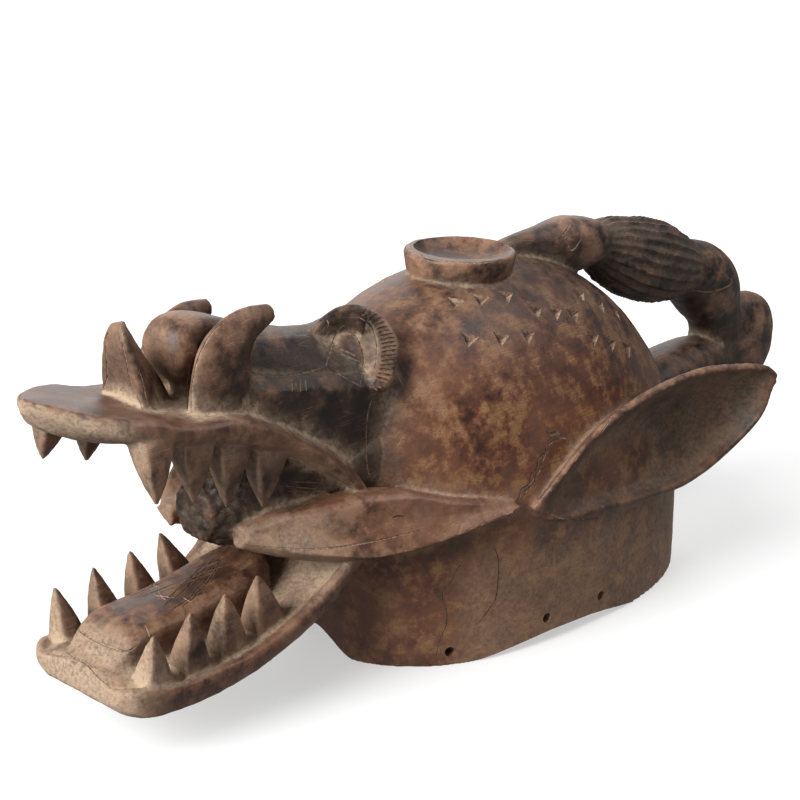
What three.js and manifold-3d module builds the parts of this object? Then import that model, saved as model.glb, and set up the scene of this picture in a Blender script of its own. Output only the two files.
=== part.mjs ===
// A carved wooden helmet mask of a beast with open jaws, worn over the head like a bell.
// Millimetres, +Z up, the jaws point to -Y and the mask is alike on both sides of X = 0.
// Places are measured from the middle of the helmet's rim until the last line moves them.
import * as THREE from "three";
import { mergeVertices } from "three/addons/utils/BufferGeometryUtils.js";
import Module from "manifold-3d";

const wasm = await Module();
wasm.setup();

// Driving dimensions
const HALF_LENGTH = 165; // helmet, front to rear at the rim
const HALF_WIDTH = 109; // helmet, side to side at the rim
const HELMET_HEIGHT = 247;
const WALL = 13; // thickness of the helmet's wall
const SHOULDER = 84; // height where the walls turn into the dome
const RIM_LIFT = 9; // how far the rim rises off the ground at each side
const FRONT_LIFT = 20; // and in front, under the jaw
const CUP_RADIUS = 39;
const CUP_DEPTH = 12;
const CUP_TIP = -0.04; // turn of its axis about X, in radians
const RIM_HOLE_RADIUS = 2.6;
const NOTCH_SIZE = 9.5; // a cut triangle on the dome
const NOTCH_DEPTH = 3;
const TOOTH_DEPTH = 21; // a tooth's foot, across the jaw
const TOOTH_SWELL = 1.6; // 1 gives a straight-sided tooth, more a fuller one
const EAR_WALL = 9;
const SHORTEST_EDGE = 0.3;
const TO_CENTRE = 28; // moves the finished mask so that its box is centred on Y = 0

const WOOD = new THREE.MeshStandardMaterial({ color: 0x4a2e20, roughness: 0.55, metalness: 0 });

// Smooth value at t, from 0 to 1, through evenly spaced numbers.
function blend(values, t) {
  const last = values.length - 1;
  const spot = Math.min(t, 0.999999) * last;
  const i = Math.floor(spot);
  const f = spot - i;
  const at = (k) => {
    if (k < 0) return 2 * values[0] - values[1];
    if (k > last) return 2 * values[last] - values[last - 1];
    return values[k];
  };
  const [a, b, c, d] = [at(i - 1), at(i), at(i + 1), at(i + 2)];
  const curve = 2 * b + (c - a) * f + (2 * a - 5 * b + 4 * c - d) * f * f;
  return 0.5 * (curve + (3 * b - a - 3 * c + d) * f * f * f);
}

// Row of smooth values at t through rows of numbers.
function blendRow(rows, t) {
  return rows[0].map((_, k) => blend(rows.map((row) => row[k]), t));
}

// Point of a unit superellipse: exponent 2 is round, larger is squarer, 1 is a diamond.
function onSuperellipse(angle, exponent) {
  const power = 2 / exponent;
  const [c, s] = [Math.cos(angle), Math.sin(angle)];
  return [Math.sign(c) * Math.abs(c) ** power, Math.sign(s) * Math.abs(s) ** power];
}

function superellipse(sides, exponent, start = 0) {
  return Array.from({ length: sides }, (_, k) => onSuperellipse(((k + start) / sides) * 2 * Math.PI, exponent));
}

// Closed skin over a row of rings, with a fan on each end, faces outward.
function skin(rings) {
  const n = rings[0].length;
  const points = rings.flat();
  const faces = [];
  for (let r = 0; r < rings.length - 1; r++) {
    for (let k = 0; k < n; k++) {
      const [a, b] = [r * n + k, r * n + ((k + 1) % n)];
      faces.push([a, b, b + n], [a, b + n, a + n]);
    }
  }
  for (const [r, first] of [[0, true], [rings.length - 1, false]]) {
    const middle = new THREE.Vector3();
    rings[r].forEach((p) => middle.addScaledVector(p, 1 / n));
    points.push(middle);
    for (let k = 0; k < n; k++) {
      const [a, b] = [r * n + k, r * n + ((k + 1) % n)];
      faces.push(first ? [b, a, points.length - 1] : [a, b, points.length - 1]);
    }
  }
  const volume = faces.reduce(
    (sum, [a, b, c]) => sum + points[a].dot(points[b].clone().cross(points[c])), 0);
  if (volume < 0) faces.forEach((f) => f.reverse());
  const shape = new THREE.BufferGeometry().setFromPoints(points);
  shape.setIndex(faces.flat());
  return shape;
}

// Solid of a closed skin, for joining and cutting.
function solid(shape) {
  const merged = mergeVertices(shape, 1e-4);
  return new wasm.Manifold(new wasm.Mesh({
    numProp: 3,
    vertProperties: merged.attributes.position.array,
    triVerts: new Uint32Array(merged.index.array),
  }));
}

// Geometry of a joined solid, with the ends of every edge shorter than SHORTEST_EDGE brought
// together, because the cuts leave slivers that are thinner than the wood's own grain.
function withoutSlivers({ vertProperties, triVerts }) {
  const place = (v) => new THREE.Vector3().fromArray(vertProperties, v * 3);
  let faces = [];
  for (let i = 0; i < triVerts.length; i += 3) faces.push([...triVerts.subarray(i, i + 3)]);
  for (let found = true; found;) {
    const moved = new Map();
    const kept = new Set();
    for (const face of faces) {
      face.forEach((a, k) => {
        const b = face[(k + 1) % 3];
        if (moved.has(a) || moved.has(b) || kept.has(b)) return;
        if (place(a).distanceTo(place(b)) > SHORTEST_EDGE) return;
        moved.set(b, a);
        kept.add(a);
      });
    }
    faces = faces.map((face) => face.map((v) => moved.get(v) ?? v));
    faces = faces.filter(([a, b, c]) => a !== b && b !== c && c !== a);
    found = moved.size > 0;
  }
  return new THREE.BufferGeometry()
    .setAttribute("position", new THREE.BufferAttribute(vertProperties, 3))
    .setIndex(faces.flat());
}

// Solid swept along a path. wide and high are half sizes at even steps of the path, and up
// points to the section's top.
function sweep({ path, wide, high, outline, up = [0, 0, 1], steps = 8 }) {
  const curve = new THREE.CatmullRomCurve3(path.map((p) => new THREE.Vector3(...p)), false, "catmullrom", 0.5);
  const hint = new THREE.Vector3(...up);
  const rings = [];
  for (let i = 0; i <= steps; i++) {
    const t = i / steps;
    const centre = curve.getPoint(t);
    const ahead = curve.getTangent(t);
    const across = ahead.clone().cross(hint).normalize();
    const top = across.clone().cross(ahead);
    const [w, h] = [blend(wide, t), blend(high, t)];
    rings.push(outline.map(([u, v]) =>
      centre.clone().addScaledVector(across, u * w).addScaledVector(top, v * h)));
  }
  return solid(skin(rings));
}

// Solid through cross-sections at right angles to Y. Each row is y and then the x, z pairs
// of the right half, from the crown down to the keel. The left half mirrors it.
function crossSections(rows, steps) {
  const rings = [];
  for (let i = 0; i <= steps; i++) {
    const [y, ...flat] = blendRow(rows, i / steps);
    const half = [];
    for (let k = 0; k < flat.length; k += 2) half.push([Math.max(flat[k], 0), flat[k + 1]]);
    const right = half.map(([x, z]) => new THREE.Vector3(x, y, z));
    const left = half.slice(1, -1).reverse().map(([x, z]) => new THREE.Vector3(-x, y, z));
    rings.push([...right, ...left]);
  }
  return solid(skin(rings));
}

const joined = (solids) => solids.reduce((all, one) => all.add(one));
const bothSides = (make) => [make(1), make(-1)];

// Point of the helmet at an angle round it and a height. It is a stack of superellipses, fuller
// over the forehead than at the rear, and an inset gives the hollow inside.
function helmetPoint(angle, z, inset = 0) {
  const top = HELMET_HEIGHT - inset;
  const rise = Math.min(1, Math.max(0, (z - SHOULDER) / (top - SHOULDER)));
  const rear = (1 - rise ** 1.9) ** 0.49;
  const front = (1 - rise ** 3.4) ** 0.42;
  const [u, v] = onSuperellipse(angle, 2.35 - 0.3 * rise);
  const ahead = Math.max(0, -v);
  const shrink = rear + (front - rear) * ahead;
  const shift = -6 * rise ** 2 * (1 - ahead);
  const bulge = 7 * ahead * Math.sin((Math.PI * Math.max(z, 0)) / HELMET_HEIGHT);
  const y = v * (HALF_LENGTH + bulge - inset) * shrink + shift;
  return new THREE.Vector3(u * (HALF_WIDTH - inset) * shrink, y, z);
}

function dome(inset, foot, sides, layers) {
  const top = HELMET_HEIGHT - inset;
  const heights = [foot, SHOULDER * 0.5, SHOULDER];
  for (let i = 1; i <= layers; i++) {
    heights.push(SHOULDER + (top - SHOULDER) * Math.sin((i / (layers + 0.35)) * Math.PI * 0.5));
  }
  const turns = Array.from({ length: sides }, (_, k) => (k / sides) * 2 * Math.PI);
  return solid(skin(heights.map((z) => turns.map((a) => helmetPoint(a, z, inset)))));
}

// Cutter that goes straight into the helmet's side at a given y and height. Each ring is its
// depth and size, and the outline lies in the helmet's surface.
function intoHelmet(side, y, z, outline, rings) {
  let [low, high] = [-Math.PI / 2, Math.PI / 2];
  for (let i = 0; i < 30; i++) {
    const middle = (low + high) / 2;
    if (helmetPoint(middle, z).y < y) low = middle;
    else high = middle;
  }
  const spot = helmetPoint(low, z);
  const back = helmetPoint(low + 0.02, z).sub(helmetPoint(low - 0.02, z)).normalize();
  const rising = helmetPoint(low, z + 1).sub(helmetPoint(low, z - 1));
  const outward = back.clone().cross(rising).normalize();
  const upward = outward.clone().cross(back);
  return solid(skin(rings.map(([depth, size]) => outline.map(([u, v]) => {
    const p = spot.clone().addScaledVector(outward, -depth);
    p.addScaledVector(back, u * size).addScaledVector(upward, v * size);
    return new THREE.Vector3(side * p.x, p.y, p.z);
  }))));
}

// Rows of cut triangles on each side of the dome, and holes through the wall above the rim.
function notches(side) {
  const rows = [
    // first y, z and last y, z of three cuts
    [-66, 235, -28, 234],
    [-77, 217, -32, 212],
    [-11, 222, 22, 213],
    [43, 220, 79, 200],
    [31, 197, 68, 181],
  ];
  const pointingDown = superellipse(3, 2, -0.75);
  return rows.flatMap(([y0, z0, y1, z1]) => [0, 0.5, 1].map((t) =>
    intoHelmet(side, y0 + (y1 - y0) * t, z0 + (z1 - z0) * t, pointingDown,
      [[-2, NOTCH_SIZE * 0.75], [NOTCH_DEPTH, NOTCH_SIZE * 0.1]])));
}

function rimHoles(side) {
  const places = [[-119, 10], [-46, 18], [8, 18]];
  return places.map(([y, z]) => intoHelmet(side, y, z, superellipse(8, 2),
    [[-5, RIM_HOLE_RADIUS], [WALL + 8, RIM_HOLE_RADIUS]]));
}

// Low arch cut in the rim. Its outline lies along one axis and is carried along the other.
// A higher power makes the arch narrower at its top.
function arch(from, to, lift, power, carry) {
  const outline = Array.from({ length: 10 }, (_, k) => {
    const t = k / 9;
    return [from + (to - from) * t, lift * Math.sin(Math.PI * t) ** power];
  });
  outline.push([to, -10], [from, -10]);
  return solid(skin(carry.map((place) => outline.map(([along, z]) => place(along, z)))));
}

function rimArches() {
  const reach = HALF_WIDTH + 30;
  const sides = arch(-105, 48, RIM_LIFT, 1,
    [-reach, reach].map((x) => (y, z) => new THREE.Vector3(x, y, z)));
  const front = arch(-34, 34, FRONT_LIFT, 1.8,
    [-HALF_LENGTH - 20, -HALF_LENGTH + 60].map((y) => (x, z) => new THREE.Vector3(x, y, z)));
  return [sides, front];
}

// Upper jaw: a spade-shaped plate whose lips curve down to the corners of the mouth.
function upperJaw() {
  const lips = [
    // y, half width, lip top, lip bottom, crown and keel
    [-396, 3, 239, 232, 240, 231],
    [-386, 18, 236, 225, 238, 219],
    [-371, 34, 231, 218, 234, 211],
    [-355, 46, 227, 213, 229, 206],
    [-338, 52, 223, 208, 225, 204],
    [-318, 55, 216, 203, 220, 203],
    [-298, 56, 212, 199, 216, 202],
    [-278, 57, 210, 193, 213, 198],
    [-258, 58, 202, 185, 210, 190],
    [-240, 59, 192, 178, 204, 183],
    [-222, 60, 180, 167, 196, 172],
    [-204, 62, 166, 154, 186, 159],
    [-188, 64, 151, 142, 176, 147],
    [-176, 62, 142, 130, 166, 135],
  ];
  const rows = lips.map(([y, w, top, bottom, crown, keel]) => [y,
    0, crown, w * 0.5, crown - 1, w - Math.min(7, w * 0.4), top + 1, w, top - 3,
    w, bottom + 3, w - Math.min(6, w * 0.4), bottom, w * 0.5, keel * 0.8 + bottom * 0.2, 0, keel]);
  return crossSections(rows, 14);
}

// Snout: a lower storey with a sloping ledge and a narrower ridge standing on it.
function snout() {
  const lower = [
    // y, then half width and height of the ledge's inner edge, its outer edge and the foot
    [-264, 20, 221, 27, 217, 31, 206],
    [-248, 33, 226, 43, 219, 44, 190],
    [-234, 35, 223, 44, 215, 45, 182],
    [-210, 37, 219, 45, 211, 46, 168],
    [-188, 39, 214, 46, 206, 46, 152],
    [-166, 41, 209, 47, 201, 46, 142],
    [-130, 42, 204, 47, 196, 46, 138],
  ].map(([y, xi, zi, xo, zo, xf, zf]) => [y,
    0, zi + 3, xi, zi, xo, zo, (xo + xf) / 2 + 1, (zo + zf) / 2, xf, zf, 0, zf]);
  const ridge = [
    // y, top height, shoulder half width and height, foot half width and height
    [-266, 238, 9, 232, 15, 222],
    [-250, 246, 17, 240, 26, 224],
    [-232, 248, 21, 242, 31, 221],
    [-210, 244, 20, 239, 35, 217],
    [-186, 237, 16, 233, 37, 212],
    [-162, 234, 12, 230, 39, 207],
    [-138, 236, 10, 232, 41, 200],
    [-110, 224, 9, 220, 42, 186],
  ].map(([y, z, xs, zs, xf, zf]) => [y,
    0, z, xs * 0.6, z - (z - zs) * 0.35, xs, zs, xf - 2, zf + 6, xf, zf, 0, zf - 20]);
  return [crossSections(lower, 10), crossSections(ridge, 12)];
}

// Tooth: a pyramid on a foot square to the jaw, steep in front and outside. A row is the foot's
// outer x, front y, rear y and height, and then the tip.
function tooth(side, [outer, front, rear, footZ, tipX, tipY, tipZ]) {
  const tip = new THREE.Vector3(side * tipX, tipY, tipZ);
  const inner = outer - TOOTH_DEPTH;
  const foot = [[outer, front], [outer, rear], [inner, rear], [inner, front]].map(
    ([x, y]) => new THREE.Vector3(side * x, y, footZ));
  const middle = new THREE.Vector3(side * (outer + inner) / 2, (front + rear) / 2, footZ);
  return solid(skin([0, 0.4, 0.72, 0.96].map((t) => {
    const axis = middle.clone().lerp(tip, t);
    return foot.map((p) => p.clone().sub(middle).multiplyScalar(1 - t ** TOOTH_SWELL).add(axis));
  })));
}

function upperTeeth(side) {
  const [third, out] = side > 0 ? [0, 0] : [10, 3]; // on the left the third stands further back
  return [
    [54 + out, -348 - out, -325, 211, 53 + out, -341 - out, 173],
    [54 + out, -319 - out, -293, 206, 50 + out, -310 - out, 164],
    [54, -290 + third, -263 + third, 199, 49, -283 + third, 152],
    [54, -261, -230, 190, 49, -254, 144],
  ].map((row) => tooth(side, row));
}

function lowerTeeth(side) {
  return [
    [51, -351, -329, 45, 50, -345, 88],
    [50, -321, -299, 48, 49, -315, 93],
    [50, -290, -267, 51, 48, -286, 96],
    [50, -260, -235, 58, 49, -260, 101],
  ].map((row) => tooth(side, row));
}

// Lower jaw: a thick plank, square in front, that rises and widens to the cheeks.
function lowerJaw() {
  const plank = [
    // y, half width, outer lip height, floor height, bottom height, rise of the floor's middle
    [-367, 43, 54, 53, 41, 5],
    [-360, 51, 56, 53, 35, 9],
    [-348, 56, 55, 51, 31, 11],
    [-325, 58, 51, 48, 30, 8],
    [-300, 59, 52, 49, 31, 2],
    [-275, 60, 54, 52, 35, 0],
    [-250, 61, 61, 59, 42, 0],
    [-225, 63, 72, 70, 53, 0],
    [-203, 66, 88, 84, 68, 0],
    [-184, 70, 108, 104, 88, 0],
    [-166, 70, 122, 118, 104, 0],
  ].map(([y, w, lip, floor, bottom, rise]) => [y,
    0, floor + rise, w - 10, floor, w - 6, lip, w - 1, lip - 1,
    w, lip - 5, w - 3, bottom + 4, w - 12, bottom, 0, bottom]);
  const tongue = [
    // y, half width, top height at the middle and at the edge
    [-361, 20, 61, 56],
    [-351, 25, 70, 64],
    [-341, 27, 77, 71],
    [-326, 28, 81, 75],
    [-302, 27, 83, 76],
    [-279, 27, 86, 78],
    [-252, 27, 91, 82],
    [-225, 22, 97, 86],
  ].map(([y, w, top, edge]) => [y, 0, top, w * 0.75, top - 2, w, edge, w + 2, 44, 0, 42]);
  return [crossSections(plank, 13), crossSections(tongue, 7)];
}

// Throat: the rough mass behind the tongue that joins both jaws to the helmet.
function throat() {
  return sweep({
    path: [[0, -270, 130], [0, -250, 132], [0, -215, 136], [0, -150, 140]],
    wide: [17, 26, 40, 52],
    high: [17, 27, 38, 44],
    outline: superellipse(12, 2.6),
    steps: 5,
  });
}

// Cheek leaf: a blade with an outer ridge that sweeps back from the mouth to the helmet.
function cheekLeaf(side) {
  const [short, slim] = side > 0 ? [16, 12] : [0, 0]; // the one on the right starts further back
  const rows = [
    // y, ridge x and z, top x and z, under x and z, root x
    [-271 + short, 34, 119, 32, 130 - slim * 0.4, 31, 111, 22],
    [-260 + short * 0.9, 42, 114, 41, 139 - slim * 0.8, 38, 107, 22],
    [-242 + short * 0.6, 56, 110, 51, 147 - slim, 51, 103, 28],
    [-215 + short * 0.2, 75, 107, 66, 147 - slim * 0.8, 64, 98, 40],
    [-185, 87, 103, 77, 143 - slim * 0.3, 77, 95, 50],
    [-155, 96, 104, 86, 136, 87, 96, 60],
    [-122, 103, 107, 96, 125, 97, 100, 70],
    [-76, 106, 110, 103, 114, 103, 107, 84],
  ];
  const rings = [];
  for (let i = 0; i <= 10; i++) {
    const [y, rx, rz, tx, tz, ux, uz, root] = blendRow(rows, i / 10);
    const outline = [
      [rx, rz], [rx * 0.62 + tx * 0.38 - 3, rz * 0.62 + tz * 0.38], [tx + 1, tz - 3], [tx - 4, tz],
      [root, tz - 2], [root, uz + 2], [ux - 3, uz], [rx - 2, rz - 3],
    ];
    rings.push(outline.map(([x, z]) => new THREE.Vector3(side * x, y, z)));
  }
  return solid(skin(rings));
}

// Ear: a hollow leaf, open outward, between an upper and a lower edge.
function ear(side) {
  const rows = [
    // upper edge x, y, z and lower edge x, y, z
    [108, -63, 104, 107, -60, 100],
    [114, -46, 123, 112, -40, 92],
    [120, -10, 152, 116, -2, 88],
    [127, 35, 170, 116, 54, 81],
    [134, 80, 176, 119, 96, 84],
    [142, 118, 172, 127, 125, 100],
    [147, 140, 164, 140, 144, 124],
    [150, 148, 158, 149, 150, 152],
  ];
  const folds = 5;
  const rings = [];
  for (let i = 0; i <= 9; i++) {
    const t = i / 9;
    const [ux, uy, uz, lx, ly, lz] = blendRow(rows, t);
    const upper = new THREE.Vector3(ux, uy, uz);
    const lower = new THREE.Vector3(lx, ly, lz);
    const spread = upper.distanceTo(lower);
    const sink = Math.min(spread * 0.3, 26);
    const inward = new THREE.Vector3(-0.9, 0.35, -0.1).normalize();
    const place = (s, depth) => upper.clone().lerp(lower, s).addScaledVector(inward, depth);
    const front = [];
    const back = [];
    for (let k = 0; k <= folds; k++) {
      const s = k / folds;
      const bow = Math.sin(Math.PI * s) ** 0.7;
      const lip = Math.min(EAR_WALL, spread * 0.35);
      front.push(place(0.02 + 0.96 * s, sink * bow));
      back.push(place(1 - s, lip * 0.6 + (sink + lip * 0.8) * bow));
    }
    rings.push([...front, ...back].map((p) => new THREE.Vector3(side * p.x, p.y, p.z)));
  }
  return solid(skin(rings));
}

// Cup: a short round wall on top of the dome, tipped a little back, with a shallow bowl that
// leaves the rim thickest at the front.
function cup() {
  const tip = new THREE.Quaternion().setFromAxisAngle(new THREE.Vector3(1, 0, 0), CUP_TIP);
  const turned = (middle, rows) => solid(skin(rows.map(([r, z]) =>
    superellipse(24, 2).map(([u, v]) =>
      new THREE.Vector3(u * r, v * r, z).applyQuaternion(tip).add(middle)))));
  const wall = turned(new THREE.Vector3(0, -25, 257.5), [
    [CUP_RADIUS + 22, -39], [CUP_RADIUS + 12, -29], [CUP_RADIUS + 3, -21], [CUP_RADIUS - 4, -17],
    [CUP_RADIUS - 1, -14], [CUP_RADIUS, -2], [CUP_RADIUS - 2, 0],
  ]);
  const bowl = turned(new THREE.Vector3(-2, -21, 257.5), [
    [CUP_RADIUS * 0.35, -CUP_DEPTH], [CUP_RADIUS * 0.62, -CUP_DEPTH * 0.72],
    [CUP_RADIUS * 0.77, -CUP_DEPTH * 0.3], [CUP_RADIUS - 8, 1],
  ]);
  return [wall, bowl];
}

// Bird on the rear: beak at the cup, ribbed wing body, rump, tail column and knob.
function bird() {
  const round = superellipse(12, 2.3);
  const head = sweep({
    path: [[0, 8, 248], [0, 34, 247], [0, 60, 242], [0, 84, 239], [0, 104, 238], [0, 120, 234]],
    wide: [6, 9, 15, 20, 21, 16],
    high: [6, 10, 17, 21, 18, 15],
    outline: round,
    steps: 9,
  });
  const ribs = 16;
  const ribbed = Array.from({ length: ribs * 2 }, (_, k) => {
    const a = (k / (ribs * 2)) * 2 * Math.PI;
    const size = k % 2 ? 0.93 : 1;
    return [Math.cos(a) * size, Math.sin(a) * size];
  });
  const wings = sweep({
    path: [[0, 110, 232], [0, 130, 227], [0, 157, 216], [0, 183, 207], [0, 208, 199], [0, 232, 192]],
    wide: [17, 22, 28, 31, 28, 20],
    high: [14, 25, 31, 33, 29, 20],
    outline: ribbed,
    steps: 7,
  });
  const rump = sweep({
    path: [[0, 212, 192], [0, 230, 189], [0, 248, 180], [0, 261, 165], [0, 271, 146], [0, 278, 118]],
    wide: [20, 25, 28, 27, 22, 20],
    high: [20, 24, 26, 25, 20, 20],
    outline: round,
    up: [1, 0, 0],
    steps: 8,
  });
  const knob = sweep({
    path: [[0, 262, 116], [0, 285, 116], [0, 305, 116], [0, 322, 116], [0, 334, 115], [0, 340, 115]],
    wide: [19, 21, 21, 19, 14, 4],
    high: [34, 38, 40, 36, 25, 8],
    outline: round,
    steps: 7,
  });
  const strut = sweep({
    path: [[0, 120, 96], [0, 160, 101], [0, 200, 108], [0, 240, 111], [0, 275, 107], [0, 300, 98]],
    wide: [30, 30, 27, 24, 21, 18],
    high: [18, 19, 20, 20, 18, 14],
    outline: round,
    steps: 6,
  });
  return [head, wings, rump, knob, strut];
}

// Nose cluster on the jaw plate: an upright fin, the curled nose and a horn on each side.
function nose() {
  const fin = sweep({
    path: [[0, -305, 206], [0, -310, 226], [0, -317, 246], [0, -321, 260], [0, -322, 270]],
    wide: [24, 22, 17, 11, 5],
    high: [18, 14, 9, 6, 3],
    outline: [[0.9, 0.95], [1, 0.6], [0.25, -1], [-0.25, -1], [-1, 0.6], [-0.9, 0.95]],
    up: [0, -1, 0],
    steps: 6,
  });
  const curl = sweep({
    path: [
      [0, -272, 196], [0, -273, 212], [0, -275, 226], [0, -281, 236], [0, -284, 246], [0, -279, 254],
      [0, -265, 253], [0, -247, 246], [0, -228, 239],
    ],
    wide: [9, 8.5, 9, 11, 12.5, 12, 11, 11, 11],
    high: [9, 8, 10, 17, 20, 18, 14, 11, 9],
    outline: superellipse(12, 2.5),
    up: [1, 0, 0],
    steps: 10,
  });
  return [fin, curl];
}

function horn(side) {
  const [drop, back] = side < 0 ? [12, 11] : [0, 0]; // the one on the left is lower and further back
  return sweep({
    path: [
      [side * 33, -274 + back, 204], [side * 33, -272 + back, 227 - drop * 0.5],
      [side * 33, -267 + back, 246 - drop], [side * 33, -252 + back * 0.6, 259 - drop],
      [side * 33, -230 + back * 0.5, 264 - drop],
    ],
    wide: [9, 10, 10, 8, 4],
    high: [25, 24, 21, 13, 5],
    outline: superellipse(10, 1.7),
    up: [0, -1, 0.3],
    steps: 8,
  });
}

// Eye: a bulging almond on the flank of the snout, with a raised brow round its rear.
function eye(side) {
  const [drop, back] = side < 0 ? [12, 6] : [0, 0]; // the one on the left is lower and further back
  const onFlank = (places) => places.map(([x, y, z]) => [side * x, y + back, z - drop]);
  const lens = sweep({
    path: onFlank([
      [13, -151, 232], [17, -153, 227], [21, -156, 222], [25, -160, 216], [29, -163, 211],
      [35, -164, 206], [41, -162, 201],
    ]),
    wide: [1, 6, 11, 13, 13, 9, 2],
    high: [2, 4, 5, 5, 5, 4, 2],
    outline: superellipse(8, 2.2),
    up: [side * 0.62, -0.35, 0.7],
    steps: 7,
  });
  const brow = sweep({
    path: onFlank([
      [9, -138, 240], [19, -131, 236], [29, -130, 229], [37, -133, 221], [42, -138, 212],
      [45, -147, 204], [46, -158, 197],
    ]),
    wide: [3, 5, 7, 8, 8, 7, 4],
    high: [3, 5, 6, 6, 6, 5, 3],
    outline: superellipse(8, 3),
    up: [side * 0.62, -0.35, 0.7],
    steps: 8,
  });
  return [lens, brow];
}

const body = joined([
  dome(0, 0, 36, 7),
  upperJaw(), ...snout(), ...bothSides(upperTeeth).flat(),
  ...lowerJaw(), ...bothSides(lowerTeeth).flat(), throat(),
  ...bothSides(cheekLeaf), ...bothSides(ear), ...nose(), ...bothSides(horn), ...bothSides(eye).flat(),
  cup()[0], ...bird(),
]);
const cuts = joined([
  dome(WALL, -5, 24, 5), cup()[1], ...rimArches(), ...bothSides(notches).flat(), ...bothSides(rimHoles).flat(),
]);
const mask = new THREE.Mesh(withoutSlivers(body.subtract(cuts).getMesh()), WOOD);
mask.name = "carved_mask";
mask.position.y = TO_CENTRE;

const group = new THREE.Group();
group.add(mask);
export default group;
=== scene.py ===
"""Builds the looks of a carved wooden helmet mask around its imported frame.

The mask is one block of hardwood. Its forms are built as overlapping closed shapes, fused on a
fine grid, worked over with a gouge and then cut with grooves, notches and holes.
"""

import math

import bpy
import numpy as np
from mathutils import Matrix, Vector, noise
from mathutils.bvhtree import BVHTree


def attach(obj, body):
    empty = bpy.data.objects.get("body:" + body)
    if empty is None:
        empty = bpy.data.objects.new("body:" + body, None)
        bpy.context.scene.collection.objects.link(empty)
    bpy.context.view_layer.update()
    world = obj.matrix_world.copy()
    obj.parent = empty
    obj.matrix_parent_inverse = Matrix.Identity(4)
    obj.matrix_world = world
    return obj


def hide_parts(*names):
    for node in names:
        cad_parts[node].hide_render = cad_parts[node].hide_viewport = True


bl_info = {
    "name": "Carved beast helmet mask",
    "version": (1, 0, 0),
    "blender": (4, 5, 0),
    "location": "View3D > Sidebar > Mask",
    "description": "Carves, finishes and stages a wooden helmet mask with open jaws",
    "category": "Object",
}

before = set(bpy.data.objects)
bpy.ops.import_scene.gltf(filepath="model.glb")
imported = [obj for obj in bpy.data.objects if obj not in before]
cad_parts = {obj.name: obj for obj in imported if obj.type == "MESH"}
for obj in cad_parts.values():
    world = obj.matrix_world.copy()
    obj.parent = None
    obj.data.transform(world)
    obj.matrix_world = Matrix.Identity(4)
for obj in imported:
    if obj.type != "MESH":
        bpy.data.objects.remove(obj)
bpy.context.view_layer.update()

MM = 0.001
CARVED_NODE = "carved_mask"

# The helmet's middle, from which all places below are measured in millimetres.
HELMET_MIDDLE_Y = 28.0
HALF_LENGTH = 165.0
HALF_WIDTH = 109.0
HELMET_HEIGHT = 247.0
WALL = 13.0
SHOULDER = 84.0
# How far up the dome stays steep, and how blunt it is at the crown.
REAR_DOME = (1.9, 0.49)
FRONT_DOME = (3.4, 0.42)
RIM_SQUARENESS = 2.35
DOME_ROUNDING = 0.3
FRONT_BULGE = 7.0
REAR_LEAN = 6.0
# The rim's arches: their ends, how high they rise, and how far the cut is carried.
SIDE_ARCH = (-105.0, 48.0)
FRONT_ARCH = (-34.0, 34.0)
RIM_LIFT = 9.0
FRONT_LIFT = 20.0
BELOW_RIM = -10.0
ACROSS_BOTH_SIDES = (-139.0, 139.0)
THROUGH_FRONT = (-185.0, -105.0)
CUP_RADIUS = 39.0
CUP_DEPTH = 10.0
CUP_MIDDLE = (0.0, -25.0, 257.5)
BOWL_MIDDLE = (-2.0, -21.0, 257.5)
CUP_TIP = -0.04
TOOTH_DEPTH = 21.0
TOOTH_CURVE = 0.15
TOOTH_SWELL = 1.6
TOOTH_BLUNT = 0.85
# The ear's thickest and thinnest lip, and what share of its spread the lip and the hollow take.
EAR_WALL = 10.0
EAR_THINNEST = 8.0
EAR_LIP = 0.35
EAR_SINK = 0.33
EAR_FLAT = 14.0
EAR_DEEPEST = 26.0
FLUTES = 22
# The eye and horn on the left are carved lower and further back.
EYE_DROP = 12.0
EYE_BACK = 6.0
ROLL_SINK = 12.0
HORN_DROP = 12.0
HORN_BACK = 11.0

# The stage, in metres: where the softboxes stand and their sizes, and what they look at.
SOFTBOXES = {"rear": ((-1.6, 1.3, 1.1), 1.8), "top": ((0.7, 0.9, 1.9), 1.2)}
LIT_MIDDLE = Vector((0, -0.05, 0.13))
WINDOW_AIM = (0.12, 1.0, -0.62)
WINDOW_SPREAD = 40.0
FLOOR = 9e3  # half its side, in millimetres

# How the wood was worked over, in millimetres.
WAVE_LENGTH, WAVE_DEPTH = 38, 0.55
RIPPLE_LENGTH, RIPPLE_DEPTH = 13, 0.22
RIPPLE_OFFSET = Vector((7, 3, 1))
FACET_SIZE, FACET_DEPTH, FACET_MIDDLE = 9, 0.45, 0.35
CRUST_SIZE, CRUST_DEPTH, CRUST_RISE = 6, 1.5, 0.3
HOLLOW_WAVE_LENGTH, HOLLOW_WAVE_DEPTH = 22, (0.6, 0.6, 0.3)
THIN_EARS = (112, 124)
SHARPEST_SHADED = 42.0

# Where the photograph was taken from, and its square frame in pixels.
CAMERA_AZIMUTH = 45.0
CAMERA_ELEVATION = 19.6
CAMERA_DISTANCE = 1500.0
CAMERA_AIM = (0.0, -84.0, 161.0)
FRAME_SIDE = 800
FOCAL_PIXELS = 2175
SENSOR = 36.0


def linear(hex_colour):
    """Linear RGBA of an sRGB hex colour."""
    parts = [int(hex_colour[i : i + 2], 16) / 255 for i in (1, 3, 5)]
    return (*[c / 12.92 if c <= 0.04045 else ((c + 0.055) / 1.055) ** 2.4 for c in parts], 1.0)


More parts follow.
